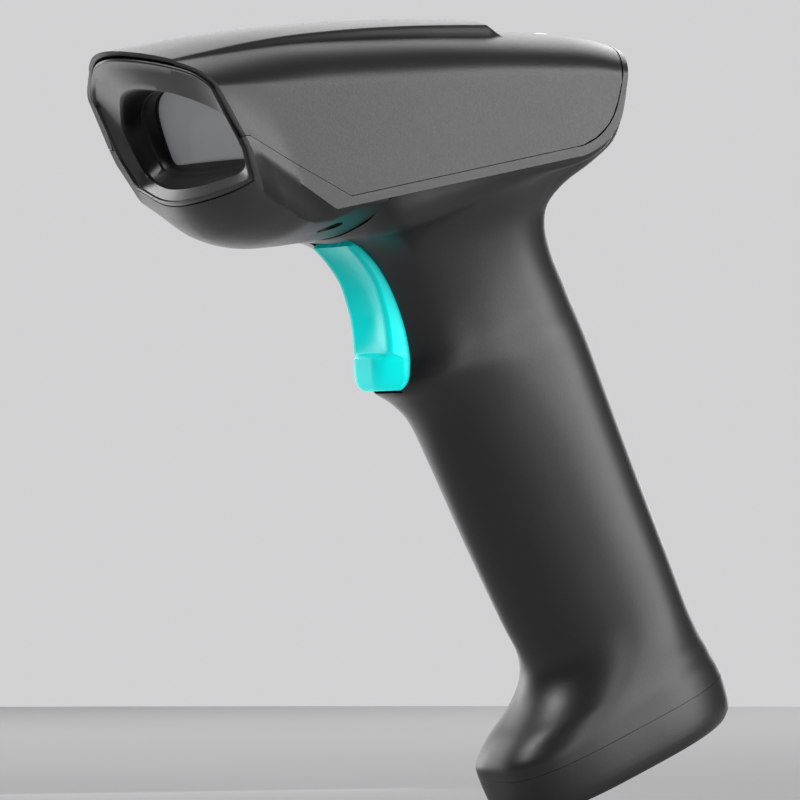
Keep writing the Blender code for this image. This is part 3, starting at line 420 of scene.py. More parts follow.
# ---------------------------------------------------------------- materials
class Nodes:
    """Short helpers for building a material's node tree."""

    def __init__(self, name, colour, roughness, metallic=0.0):
        self.mat = bpy.data.materials.new(name)
        self.mat.use_nodes = True
        self.tree = self.mat.node_tree
        self.shader = self.tree.nodes["Principled BSDF"]
        self.set("Base Color", (*colour, 1.0))
        self.set("Roughness", roughness)
        self.set("Metallic", metallic)
        self.mat.diffuse_color = (*colour, 1.0)
        coords = self.node("ShaderNodeTexCoord")
        self.place = coords.outputs["Object"]

    def set(self, socket, value):
        self.shader.inputs[socket].default_value = value

    def node(self, kind, **inputs):
        made = self.tree.nodes.new(kind)
        for key, value in inputs.items():
            made.inputs[key].default_value = value
        return made

    def link(self, out, to):
        self.tree.links.new(out, to)

    def feed(self, out, socket):
        self.link(out, self.shader.inputs[socket])

    def noise(self, scale, detail=3.0, rough=0.5, stretch=None):
        tex = self.node("ShaderNodeTexNoise", Scale=scale, Detail=detail, Roughness=rough)
        source = self.place
        if stretch:
            mapping = self.node("ShaderNodeMapping", Scale=stretch)
            self.link(source, mapping.inputs["Vector"])
            source = mapping.outputs["Vector"]
        self.link(source, tex.inputs["Vector"])
        return tex.outputs["Fac"]

    def cells(self, scale):
        tex = self.node("ShaderNodeTexVoronoi", Scale=scale)
        self.link(self.place, tex.inputs["Vector"])
        return tex.outputs["Distance"]

    def span(self, factor, low, high, from_low=0.3, from_high=0.7):
        """Map a factor to a range of values."""
        mapped = self.node("ShaderNodeMapRange", **{"From Min": from_low, "From Max": from_high,
                                                    "To Min": low, "To Max": high})
        self.link(factor, mapped.inputs["Value"])
        return mapped.outputs["Result"]

    def blend(self, factor, first, second):
        """Mix a colour or another node's output with a second colour."""
        mix = self.node("ShaderNodeMix")
        mix.data_type = "RGBA"
        if isinstance(first, tuple):
            mix.inputs["A"].default_value = (*first, 1.0)
        else:
            self.link(first, mix.inputs["A"])
        mix.inputs["B"].default_value = (*second, 1.0)
        self.link(factor, mix.inputs["Factor"])
        return mix.outputs["Result"]

    def mottle(self, factor, first, second):
        self.feed(self.blend(self.span(factor, 0.0, 1.0), first, second), "Base Color")

    def bump(self, height, strength, distance, under=None):
        bump = self.node("ShaderNodeBump", Strength=strength, Distance=distance)
        self.link(height, bump.inputs["Height"])
        if under is not None:
            self.link(under, bump.inputs["Normal"])
        return bump.outputs["Normal"]

    def worn(self):
        """Factor that is 1 on outward edges and 0 elsewhere."""
        geometry = self.node("ShaderNodeNewGeometry")
        return self.span(geometry.outputs["Pointiness"], 0.0, 1.0, 0.515, 0.60)


def shade(colour, factor):
    return tuple(min(c * factor, 1.0) for c in colour)


def moulded(name, colour, roughness, grain=1.0, edge=1.35):
    """Fine-grained moulded plastic: spark texture, faint flow marks, polished edges."""
    n = Nodes(name, colour, roughness)
    flow = n.noise(38.0, 4.0, 0.55, (1.0, 0.35, 0.8))
    fine = n.noise(2600.0, 2.0, 0.5)
    tone = n.blend(n.span(flow, 0.0, 1.0), shade(colour, 0.93), shade(colour, 1.07))
    speck = n.blend(n.span(fine, 0.0, 0.55, 0.52, 0.72), tone, shade(colour, 1.22))
    worn = n.blend(n.worn(), speck, shade(colour, edge))
    n.feed(worn, "Base Color")
    rough = n.node("ShaderNodeMath")
    rough.operation = "ADD"
    n.link(n.span(flow, roughness - 0.035, roughness + 0.03), rough.inputs[0])
    n.link(n.span(fine, -0.03, 0.04), rough.inputs[1])
    n.feed(rough.outputs[0], "Roughness")
    pits = n.cells(2300.0)
    first = n.bump(pits, 0.10 * grain, 0.00006)
    n.feed(n.bump(fine, 0.16 * grain, 0.00005, first), "Normal")
    return n.mat


def trigger_painted_glow_look():
    """Satin translucent cyan plastic with a painted glow: emission stands in for light, stronger
    towards its lower end, with painted shade near the top under the chin.
    """
    # The painted glow is strongest at the lower height and fades into painted shade at the upper
    # one.
    low, high = 0.092, 0.107  # object heights in metres
    n = Nodes("cyan_plastic_painted_glow", (0.0, 0.70, 0.66), 0.30)
    flow = n.noise(55.0, 3.0, 0.5)
    fine = n.noise(2400.0, 2.0, 0.5)
    tone = n.blend(n.span(flow, 0.0, 1.0), (0.0, 0.66, 0.62), (0.0, 0.74, 0.70))
    n.feed(n.blend(n.worn(), tone, (0.05, 0.85, 0.82)), "Base Color")
    n.feed(n.span(fine, 0.36, 0.46), "Roughness")
    n.feed(n.bump(fine, 0.06, 0.00004), "Normal")
    n.set("Specular IOR Level", 0.22)
    n.set("Subsurface Weight", 0.15)
    n.set("Subsurface Radius", (0.0, 1.0, 1.0))
    n.set("Subsurface Scale", 0.002)
    # Painted light: an emission glow that stands in for light, fading upwards as painted shade
    # where the chin shades the trigger.
    n.set("Emission Color", (0.0, 0.75, 0.73, 1.0))
    height = n.node("ShaderNodeSeparateXYZ")
    n.link(n.place, height.inputs[0])
    n.feed(n.span(height.outputs["Z"], 0.58, 0.12, low, high), "Emission Strength")
    return n.mat


def metal(name, colour, roughness, brushed=True):
    n = Nodes(name, colour, roughness, 1.0)
    lines = n.noise(900.0, 3.0, 0.6, (1.0, 6.0, 1.0) if brushed else None)
    n.mottle(lines, shade(colour, 0.88), shade(colour, 1.08))
    n.feed(n.span(lines, roughness - 0.07, roughness + 0.09), "Roughness")
    n.feed(n.bump(lines, 0.10, 0.00003), "Normal")
    return n.mat


def rubber():
    n = Nodes("gasket_rubber", (0.012, 0.012, 0.013), 0.72)
    dust = n.noise(420.0, 4.0, 0.6)
    n.mottle(dust, (0.009, 0.009, 0.010), (0.020, 0.020, 0.021))
    n.feed(n.span(dust, 0.62, 0.82), "Roughness")
    n.feed(n.bump(dust, 0.15, 0.00004), "Normal")
    return n.mat


def pane_painted_reflection_look():
    """Clear scan window with a little dust; its pale grey colour and faint glow are a painted
    reflection of a soft light.
    """
    n = Nodes("window_glass_painted_reflection", (0.75, 0.76, 0.77), 0.03)
    film_tone = n.noise(45.0, 2.0, 0.4)
    n.mottle(film_tone, (0.72, 0.73, 0.74), (0.78, 0.79, 0.80))
    n.feed(n.span(film_tone, 0.03, 0.06), "Roughness")
    n.set("IOR", 1.49)
    n.set("Alpha", 0.66)
    # Painted reflection: a faint grey glow that, with the pale base colour, stands in for a soft
    # light reflected in the window.
    n.set("Emission Color", (0.80, 0.82, 0.84, 1.0))
    n.set("Emission Strength", 0.10)
    n.set("Coat Weight", 0.6)
    n.set("Coat Roughness", 0.02)
    n.mat.surface_render_method = "BLENDED"
    return n.mat


def lens_look(name, colour):
    n = Nodes(name, colour, 0.04)
    rings = n.noise(700.0, 2.0, 0.4)
    n.mottle(rings, shade(colour, 0.8), shade(colour, 1.2))
    n.feed(n.span(rings, 0.02, 0.07), "Roughness")
    n.set("Coat Weight", 1.0)
    n.set("Coat Roughness", 0.03)
    n.set("Specular IOR Level", 0.8)
    return n.mat


def board_look():
    """Solder mask with faint copper tracks beneath."""
    n = Nodes("circuit_board", (0.010, 0.105, 0.045), 0.38)
    tracks = n.node("ShaderNodeTexBrick", Scale=260.0, Color1=(0.010, 0.100, 0.042, 1),
                    Color2=(0.012, 0.120, 0.052, 1), Mortar=(0.030, 0.190, 0.080, 1),
                    **{"Mortar Size": 0.035})
    n.link(n.place, tracks.inputs["Vector"])
    n.feed(tracks.outputs["Color"], "Base Color")
    n.feed(n.span(n.noise(500.0), 0.30, 0.46), "Roughness")
    n.feed(n.bump(tracks.outputs["Fac"], 0.2, 0.00003), "Normal")
    return n.mat


def film(name, colour, roughness):
    """Smooth plastic film or heat-shrink with soft wrinkles."""
    n = Nodes(name, colour, roughness)
    folds = n.noise(120.0, 3.0, 0.5, (1.0, 1.0, 0.3))
    n.mottle(folds, shade(colour, 0.85), shade(colour, 1.15))
    n.feed(n.span(folds, roughness - 0.06, roughness + 0.08), "Roughness")
    n.feed(n.bump(folds, 0.12, 0.0002), "Normal")
    return n.mat


SHELL = moulded("shell_plastic", (0.023, 0.023, 0.024), 0.40)
GRIP = moulded("grip_plastic", (0.018, 0.018, 0.019), 0.38)
BEZEL = moulded("bezel_plastic", (0.026, 0.026, 0.027), 0.36, grain=0.8)
# Darker copy of the shell plastic: painted shade on the shells' front rim, which faces away from
# the lights.
EDGE_PAINTED_SHADE = moulded("front_edge_painted_shade", (0.018, 0.018, 0.019), 0.36)
# Near-black plastic: painted shade deep in the bezel's tunnel and inside the chin's screw holes.
TUNNEL_PAINTED_SHADE = moulded("tunnel_painted_shade", (0.004, 0.004, 0.004), 0.45, grain=0.6)
BLACK = moulded("black_plastic", (0.010, 0.010, 0.011), 0.48)
CYAN_PAINTED_GLOW = trigger_painted_glow_look()
GASKET = rubber()
PANE_PAINTED_REFLECTION = pane_painted_reflection_look()
PIPE = lens_look("light_pipe", (0.34, 0.36, 0.38))
LENS = lens_look("coated_lens", (0.055, 0.060, 0.085))
CLEAR = lens_look("clear_lens", (0.30, 0.32, 0.34))
BOARD = board_look()
CHIP = moulded("chip_epoxy", (0.014, 0.014, 0.016), 0.42, grain=0.6)
STEEL = metal("plated_steel", (0.52, 0.52, 0.54), 0.30)
TIN = metal("tinned_sheet", (0.66, 0.67, 0.69), 0.24)
BRASS = metal("spring_brass", (0.72, 0.52, 0.22), 0.30)
WHITE = moulded("white_nylon", (0.62, 0.62, 0.60), 0.42, grain=0.5, edge=1.1)
FLEX = film("amber_film", (0.45, 0.20, 0.05), 0.30)
WRAP = film("cell_wrap", (0.02, 0.11, 0.34), 0.30)
SENSOR = lens_look("sensor_glass", (0.05, 0.055, 0.08))


# ---------------------------------------------------------------- head shells
FRONT_RECESS = 0.12  # inner front edge behind the nose face
RIM_DEPTH = 6.0  # run over which the front wall fades out


def front_wall(z):
    """Wall at the shells' front edge, thinner over the top of the window."""
    return WALL + 0.7 - 1.7 * min(1.0, max(0.0, (z - 139.0) / 6.0))


def head_wall(x, y, z):
    return WALL + (front_wall(z) - WALL) * max(0.0, 1 - (y - nose_y(x, z)) / RIM_DEPTH)


def flush_front(verts, faces):
    """Bring the inner front edge of a thickened shell forward, close to the nose face."""
    half = len(verts) // 2
    for i, (x, y, z) in enumerate(verts[:half]):
        if abs(y - nose_y(x, z)) < 0.001:
            way = Vector((verts[half + i][0] - x, verts[half + i][2] - z)).normalized()
            u, v = x + way.x * front_wall(z), z + way.y * front_wall(z)
            verts[half + i] = (u, nose_y(u, v) + FRONT_RECESS, v)
    return verts, faces


def stations(low, high, count, extra=()):
    return sorted(set([low + (high - low) * k / (count - 1) for k in range(count)] + list(extra)))


def upper_shell():
    steps = 12
    rows = []
    for t in stations(0.0, SHELL_T, 86, (0.002, 0.710, 0.712, 0.74, 0.742)):
        roof = arch(t, roof_xs(t))
        half = HALF(t)
        top, shoulder = roof[-1]
        foot = min(level(GROOVE, t, half) + SEAM_GAP / 2, shoulder - 1.2)
        side = [(top + (half - top) * k / steps, shoulder + (foot - shoulder) * k / steps)
                for k in range(1, steps + 1)]
        rows.append([head_point(t, x, z) for x, z in roof + side])
    solid = flush_front(*thicken(*mirrored(*sheet(rows)), head_wall))
    shell = piece("upper_skin", *solid, "housing", "shell", SHELL,
                  ["upper_shell"], bevel=0.12, angle=38)
    hole = cutter(*turned_mesh([(2.6, -8), (2.6, 8)], framed((0, LENS_Y, 155), (0, 0, 1))))
    boolean(shell, [hole])
    # Painted shade on the front rim.
    repaint(shell, EDGE_PAINTED_SHADE, front_edge_painted_shade())


def seam_seal():
    """Dark strip inside the walls, behind the seam between roof and chin."""
    steps, start, length, depth = 40, 0.004, 0.87, 1.3
    strip = ((0.4, 0.7), (0.4, -0.7), (0, -0.7), (0, 0.7))
    rings = []
    for k in range(steps + 1):
        t = start + length * k / steps
        x = HALF(t) - depth
        z = level(GROOVE, t, x)
        y = head_point(t, x, z)[1]
        rings.append([(x + u, y, z + v) for u, v in strip])
    piece("seam_seal", *mirrored(*stack(rings)), "housing", "gasket", GASKET)


def repaint(obj, look, test):
    """Give painted shade, as a second material, to the faces whose centre, in mm, and normal pass
    a test.
    """
    obj.data.materials.append(look)
    for face in obj.data.polygons:
        if test(face.center / MM, face.normal):
            face.material_index = len(obj.data.materials) - 1


def front_edge_painted_shade():
    """Test for the shells' front rim, which gets painted shade: close to the nose face and well
    inside its outline.
    """
    near, margin = 0.9, 0.35
    edge = np.array(face_outline())
    angles = np.arctan2(edge[:, 0], edge[:, 1] - NOSE_MID)
    reach = np.hypot(edge[:, 0], edge[:, 1] - NOSE_MID)

    def test(centre, normal):
        if abs(centre.y - nose_y(centre.x, centre.z)) > near or normal.y > -0.5:
            return False
        angle = math.atan2(abs(centre.x), centre.z - NOSE_MID)
        limit = np.interp(angle, angles, reach) - margin
        return math.hypot(centre.x, centre.z - NOSE_MID) < limit
    return test


def in_tunnel(centre, normal):
    """Whether a face of the bezel lies deeper than the mouth's edge, where it gets painted shade.
    """
    return centre.y - nose_y(centre.x, centre.z) > 2.45


def band_pairs():
    """Upper and lower edge points of the band, from the chin's end back and over the roof."""
    steps, end = 24, 0.86
    pairs = []
    for k in range(1, steps + 1):
        t = SEAM_T + (end - SEAM_T) * k / steps
        g, e = level(GROOVE, t, HEAD_HALF) - SEAM_GAP / 2, level(EDGE, t, HEAD_HALF)
        pairs.append((head_point(t, HEAD_HALF, g), head_point(t, HEAD_HALF, e)))
    corner = [((-27.0, 130.45), (-26.6, 128.5)), ((-23.5, 132.2), (-22.3, 130.7)),
              ((-20.75, 134.8), (-19.3, 133.6)), ((-18.95, 137.9), (-17.5, 136.8)),
              ((-18.0, 141.1), (-16.75, 140.6))]
    for g, e in corner:
        pairs.append(((HEAD_HALF, *g), (HEAD_HALF, *e)))
    xs = roof_xs(1)
    front, back = arch(HOOP_T, xs, False), arch(1.0, xs, False)
    for (x, zf), (_, zb) in zip(reversed(front), reversed(back)):
        pairs.append((head_point(HOOP_T, x, zf), head_point(0.9985, x, zb)))
    return smoothed_pairs(pairs, steps - 1, steps + 8)


def smoothed_pairs(pairs, start, end):
    """Denser pairs between two indices, round the corner of the band."""
    upper, lower = (spline([pair[side] for pair in pairs[start:end]], 4) for side in (0, 1))
    return pairs[:start] + list(zip(upper, lower)) + pairs[end:]


def chin_boss(side):
    """Placement of a screw hole in the chin, +1 or -1 for the side."""
    return framed((side * 20, -81.6, 112.7), (-0.25 * side, -0.22, 1))


def chin_frame():
    rows = [[head_point(t, x, z) for x, z in chin_section(t)]
            for t in stations(0.0, SEAM_T, 46)]
    last = rows[-1]
    for i, (x, z) in enumerate(chin_section(SEAM_T)[4:], 4):
        t = SEAM_T + np.interp(x, (0, 6.9, 13.8, 20.4, 25.8, 29.9),
                               (0.0035, 0.0025, 0.0, 0.0, 0.009, 0.010))
        last[i] = head_point(t, *chin_section(t)[i])
    verts, faces = sheet(rows)
    strip = [last[:4]]
    for g, e in band_pairs():
        g, e = np.array(g), np.array(e)
        strip.append([tuple(g + (e - g) * k / 3) for k in range(4)])
    sheet(strip, faces, verts)
    solid = flush_front(*thicken(*mirrored(verts, faces), WALL))
    shell = piece("chin_skin", *solid, "housing", "shell", SHELL,
                  ["chin_frame"], bevel=0.12, angle=34)
    for side in (1, -1):
        place = chin_boss(side)
        boolean(shell, [cutter(*turned_mesh([(4.3, 1.2), (4.3, 7.5)], place, 40))], "UNION")
    tools = []
    for side in (1, -1):
        profile = [(2.9, -3), (2.9, 5.0), (1.2, 5.0), (1.2, 9)]
        tools.append(cutter(*turned_mesh(profile, chin_boss(side), 40)))
    boolean(shell, tools)
    # Painted shade on the front rim.
    repaint(shell, EDGE_PAINTED_SHADE, front_edge_painted_shade())
    # Painted shade inside the screw holes.
    repaint(shell, TUNNEL_PAINTED_SHADE, in_boss_hole)


def in_boss_hole(centre, normal):
    """Whether a face of the chin lies inside one of its screw holes, where it gets painted shade.
    """
    spot = chin_boss(1 if centre.x > 0 else -1).inverted() @ centre
    return math.hypot(spot.x, spot.y) < 3.0 and spot.z > 0.1


# ---------------------------------------------------------------- handle
HALF_RING = 24


def ring_angle(j):
    return math.radians(np.interp(j, (0, 5, 14, 24), (0, 48, 118, 180)))


def egg(angle, front, back, wide, half, nf, nb):
    """Half width and place from front to back on an egg-shaped outline."""
    c, s = math.cos(angle), math.sin(angle)
    n = nf if c > 0 else nb
    reach = wide - front if c > 0 else back - wide
    pos = wide - math.copysign(abs(c) ** (2 / n), c) * reach
    return half * s ** (2 / n), pos


def crease_loop():
    """Upper edge of the handle, under the chin and the roof, from front to back."""
    pts = [(0, -72.8, 110.9), (7, -72.8, 111.35), (14, -72.8, 112.5), (21, -72.8, 114.3),
           (25.5, -72.6, 116.6), (27.6, -71.6, 118.4)]
    inner = HEAD_HALF - WALL - GAP
    for y in (-67.5, -62, -56, -50, -44, -38, -32):
        pts.append((inner, y, EDGE(y)))
    pts += [(inner, -26.9, 128.3), (inner, -22.3, 130.5), (inner, -19.0, 133.5),
            (inner, -17.0, 136.8), (inner, -16.0, 141.0)]
    for x in (28.1, 27.0, 24.6, 21.0, 16.0, 8.5, 0.0):
        z = arch(1.0, [x * HEAD_HALF / inner], False)[0][1] - WALL - GAP
        pts.append((x, REAR_Y - REAR_BOW * (x / HEAD_HALF) ** 2, z))
    return pts


def handle_half_rings():
    """Egg-shaped rings up the handle that blend into the edge under the head."""
    angles = [ring_angle(j) for j in range(HALF_RING + 1)]
    rows = []
    for h, *shape in RINGS:
        row = []
        for a in angles:
            x, pos = egg(a, *shape)
            row.append(tuple(AXIS * h + LONG * pos + Vector((x, 0, 0))))
        rows.append(row)
    loop = crease_loop()
    f, b = loop[0], loop[-1]
    chord = Vector((0, b[1] - f[1], b[2] - f[2]))
    along, size = chord.normalized(), chord.length
    up = Vector((0, -along.z, along.y))
    local = []
    inner = HEAD_HALF - WALL - GAP
    for x, y, z in loop:
        d = Vector((0, y - f[1], z - f[2]))
        local.append((x / inner, d.dot(along) / size, d.dot(up) / size))
    for front, back, half, power, share, drop, sag in NECK:
        base = [egg(a, 0.0, 1.0, 0.64, 1.0, power, 2.6) for a in angles]
        p = Vector((0, *front))
        chord = Vector((0, *back)) - p
        up = Vector((0, -chord.z, chord.y))
        row = []
        for j, ((ex, ep), (lx, lp, lu)) in enumerate(zip(base, local)):
            x = half * (ex * (1 - share) + lx * share)
            q = p + chord * (ep * (1 - share) + lp * share) + up * (lu * drop)
            low = sag * math.cos(math.radians(min(abs(j - 14) * 18, 90))) ** 2
            row.append((x, q.y + low, q.z - low))
        rows.append(row)
    rows.append(loop)
    return rows


def on_plane(rows):
    """Keep both edge columns in the middle plane."""
    for row in rows:
        row[0] = (0.0, *row[0][1:])
        row[-1] = (0.0, *row[-1][1:])
    return rows


def even_slope(rows):
    """Spline a half grid as if its mirror half were there, so it crosses the middle smoothly."""
    full = [[(-x, y, z) for x, y, z in reversed(row[1:3])] + list(row)
            + [(-x, y, z) for x, y, z in reversed(row[-3:-1])] for row in rows]
    dense = refine(full, 4, 4)
    return on_plane([row[8:-8] for row in dense])


def handle_shell():
    rows = even_slope(handle_half_rings())
    verts, faces = sheet(rows)
    shell = piece("handle_skin", *thicken(*mirrored(verts, faces), WALL), "housing", "grip",
                  GRIP, ["handle_shell"], bevel=0.12, angle=38)
    return boolean(shell, [trigger_slot()])


def trigger_slot():
    """Room for the trigger, closing in round its lower end."""
    rings = []
    brow = 108.61  # the slot is open in front below this height
    for z in (78.75, 79.3, 79.6, 80.2, 81.0, 82.2, 83.4, 84.4, 108.6, 108.62, 112.0, 116.5):
        half = TRIGGER_SIDE(max(z, TRIGGER_LOW)) + GAP + 0.05
        front = -80 if z < brow else -71.35
        back = np.interp(z, (78.75, 84.4, 112, 116.5), (-53.4, -45, -45, -58))
        rings.append([(half, front, z), (half, back, z), (-half, back, z), (-half, front, z)])
    return cutter(*stack(rings))


def cap_ring(h, front, back, wide, half, nf, nb, shrink=0.0):
    count = 144
    pts = []
    for j in range(count):
        a = 2 * math.pi * j / count
        x, pos = egg(abs(a if a <= math.pi else 2 * math.pi - a), front + shrink, back - shrink,
                     wide, half - shrink, nf, nb)
        pts.append(tuple(AXIS * h + LONG * pos + Vector((x if a <= math.pi else -x, 0, 0))))
    return pts


def rounded_slot(width, height, place, low, high):
    r = height / 2
    plan = []
    for side in (1, -1):
        for k in range(13):
            a = math.radians(-90 + 15 * k)
            plan.append((side * (width / 2 - r) + side * r * math.cos(a), side * r * math.sin(a)))
    return stack([[tuple(place @ Vector((x, y, z))) for x, y in plan] for z in (low, high)])


CAP_LEVELS = [(CAP_HEIGHT + 0.06, -29.8, 27.4, 1.0, 17.0, 3.4, 2.8),
              (7.0, -29.8, 27.35, 1.0, 16.98, 3.4, 2.75), (4.5, -29.7, 27.2, 1.0, 16.9, 3.4, 2.7),
              (3.0, -29.6, 26.9, 1.0, 16.8, 3.35, 2.65), (1.7, -29.4, 26.4, 1.0, 16.6, 3.3, 2.6),
              (0.9, -29.0, 25.9, 1.0, 16.25, 3.25, 2.5), (0.35, -28.6, 25.5, 1.0, 15.9, 3.2, 2.45),
              (0.0, -28.1, 25.0, 1.0, 15.5, 3.2, 2.4)]


def base_cap():
    height, *top = CAP_LEVELS[0]
    rings = [cap_ring(height, *top, shrink=WALL)]
    rings += [cap_ring(*row) for row in CAP_LEVELS]
    floor = [cap_ring(2.2, *top, shrink=WALL + 0.4)]
    cap = piece("base_skin", *stack(list(reversed(rings)) + floor), "housing", "grip", GRIP,
                ["base_cap"], bevel=0.10, angle=32)
    tools = [cutter(*rounded_slot(9.8, 4.2, framed(LONG * -16.0, AXIS), -2, 6))]
    for pos in (-23.5, 20.5):
        spot = framed(LONG * pos, AXIS)
        profile = [(2.7, -1), (2.7, 1.1), (1.5, 1.1), (1.5, 4)]
        tools.append(cutter(*turned_mesh(profile, spot, 40)))
    return boolean(cap, tools)


# ---------------------------------------------------------------- nose
AROUND = 120  # steps along half an outline


def outline(points):
    """Evenly spaced closed loop from a half outline."""
    pts = [Vector((x, z)) for x, z in points]
    lengths = [0.0]
    for a, b in zip(pts, pts[1:]):
        lengths.append(lengths[-1] + (b - a).length)
    half = []
    for k in range(AROUND + 1):
        s = lengths[-1] * k / AROUND
        half.append((float(np.interp(s, lengths, [p.x for p in pts])),
                     float(np.interp(s, lengths, [p.y for p in pts]))))
    return half + [(-x, z) for x, z in reversed(half[1:-1])]


def face_outline():
    """Half outline of the nose face, from the top down."""
    return arch(0, roof_xs(0), False) + chin_section(0)


def inset(points, distance):
    """Half outline moved inwards, without the loops that tight corners leave."""
    p = np.array([q for k, q in enumerate(points) if k == 0 or q != points[k - 1]], float)
    wide = np.vstack([p[1] * (-1, 1), p, p[-2] * (-1, 1)])
    run = wide[2:] - wide[:-2]
    run /= np.linalg.norm(run, axis=1)[:, None]
    size = np.array([distance(z) for z in p[:, 1]])
    moved = p + np.column_stack([run[:, 1], -run[:, 0]]) * size[:, None]
    return [tuple(m) for m, d in zip(moved, size)
            if np.linalg.norm(p - m, axis=1).min() > 0.97 * d]


def rim(extra):
    """Half outline just inside the shells' front edge."""
    return inset(face_outline(), lambda z: front_wall(z) + GAP + extra)


MOUTH = [(0, 141.5), (6.7, 141.0), (11, 140.3), (16, 138.8), (21, 136.7), (23.8, 134.9),
         (24.5, 132.5), (24.4, 129.5), (23.9, 127), (23.0, 125), (20.5, 123.6), (16.8, 122.8),
         (7.7, 121.3), (0, 120.9)]
SIGHT = [(0, 142.6), (9, 142.6), (15.5, 142.4), (18.4, 141.6), (20.6, 140.2), (21.8, 138.2),
         (21.9, 135.5), (21.3, 132.6), (20.6, 130.2), (19.8, 128.2), (18.6, 127.2),
         (16.6, 126.9), (9, 126.9), (0, 126.9)]


def soft(points):
    """A smooth half outline through the points, level where it crosses the middle."""
    full = [(-points[1][0], points[1][1])] + list(points) + [(-points[-2][0], points[-2][1])]
    dense = spline([(x, z, 0.0) for x, z in full], 8)
    return [(max(x, 0.0), z) for x, z, _ in dense[8:-8]]


def window_y(z, depth):
    return WINDOW_Y - math.tan(WINDOW_TILT) * (z - WINDOW_MID) + depth


def nose_ring(points, depth, shrink=0.0):
    """Loop behind the nose face by a depth, drawn in towards its middle."""
    ring = []
    mid = Vector((0, NOSE_MID))
    for x, z in outline(points):
        v = Vector((x, z)) - mid
        v = v * (1 - shrink / v.length) + mid
        ring.append((v.x, nose_y(v.x, v.y) + depth, v.y))
    return ring


def sight_ring(grow, depth):
    """Loop round the window, grown outwards and set back."""
    mid = Vector((0, WINDOW_MID))
    ring = []
    for x, z in outline(soft(SIGHT)):
        v = Vector((x, z)) - mid
        v = v * (1 + grow / v.length) + mid
        ring.append((v.x, window_y(v.y, depth), v.y))
    return ring


def between(a, b, share):
    """Ring part of the way from a to b."""
    return [tuple(p + (q - p) * share for p, q in zip(u, v)) for u, v in zip(a, b)]


def nose_bezel():
    """Lip, funnel, stepped tunnel and rear face, joined into one closed ring."""
    step, step_mid = 0.53, 134  # where the tunnel steps in, and towards what height
    mouth = soft(MOUTH)
    rings = [nose_ring(rim(0.5), 3.0), nose_ring(rim(-0.12), 0.4), nose_ring(rim(-0.08), 0.0),
             nose_ring(rim(0.15), -0.3), nose_ring(rim(0.50), -0.40), nose_ring(rim(0.75), -0.2),
             nose_ring(rim(0.95), 0.35)]
    edge = rings[-1]
    mouth_edge = nose_ring(mouth, 2.4)
    for share in (0.25, 0.5, 0.75, 1.0):
        rings.append(between(edge, mouth_edge, share))
    inner = nose_ring(mouth, 3.4, 0.3)
    sight = sight_ring(0.0, 0.0)
    rings += [nose_ring(mouth, 2.8, 0.15), inner]
    for share in (0.25, 0.5, 0.52, 0.54, 0.75):
        ring = between(inner, sight, share)
        grow = 1.0 if share < step else 0.97
        rings.append([(x * grow, y, step_mid + (z - step_mid) * grow) for x, y, z in ring])
    rings += [sight, sight_ring(1.6, 0.0), nose_ring(mouth, 5.0, -1.5), nose_ring(rim(2.0), 3.0)]
    bezel = piece("bezel_skin", *stack(rings, cap=False), "housing", "bezel", BEZEL,
                  ["nose_bezel"], bevel=0.16, angle=34)
    # Painted shade on the bezel deeper than the mouth's edge.
    repaint(bezel, TUNNEL_PAINTED_SHADE, in_tunnel)


def window():
    rings = [sight_ring(1.6, 0.3), sight_ring(0.3, 0.3), sight_ring(0.3, 1.0),
             sight_ring(1.6, 1.0)]
    piece("gasket_skin", *stack(rings, cap=False), "housing", "gasket", GASKET,
          ["window_gasket"], bevel=0.12, angle=30)
    piece("pane_skin", *stack([sight_ring(1.7, 1.3), sight_ring(1.7, 2.8)]), "housing", "window",
          PANE_PAINTED_REFLECTION, ["window_pane"], bevel=0.15, angle=30)


def status_lens():
    place = framed((0, LENS_Y, 155.9), (0, 0, 1))
    profile = [(1.3, -13), (1.6, -12.6), (1.6, -3.2), (2.25, -2.9), (2.25, -0.3), (2.15, -0.1),
               (1.9, 0.05), (1.4, 0.18), (0.9, 0.25), (0.3, 0.28)]
    piece("lens_skin", *turned_mesh(profile, place, 64), "housing", "light_pipe", PIPE,
          ["status_lens"], angle=40)


# ---------------------------------------------------------------- trigger
TRIGGER_HALF = 8.5
TRIGGER_LOW, TRIGGER_RISE = 79.3, 30.1
TRIGGER_FRONT = curve([(79.3, -59.4), (80.4, -60.4), (83.6, -60.9), (89, -61.2), (94.2, -61.9),
                       (98, -63.0), (101.5, -64.3), (106.3, -67.7), (109.4, -70.9)])
TRIGGER_BACK = curve([(79.3, -57.1), (80.8, -56.6), (82.9, -56.0), (86, -55.6), (92, -54.8),
                      (96, -54.8), (101.5, -57.4), (106.3, -60.6), (109.4, -62.8)])
DISH = curve([(79.3, 0.0), (86.4, 0.0), (89.5, 0.8), (97, 1.9), (104, 1.7), (109.4, 0.7)])
TRIGGER_SIDE = curve([(79.3, 5.7), (79.6, 6.6), (80.2, 7.4), (81.0, 8.0), (82.2, 8.4),
                      (83.4, 8.5), (109.4, 8.5)])


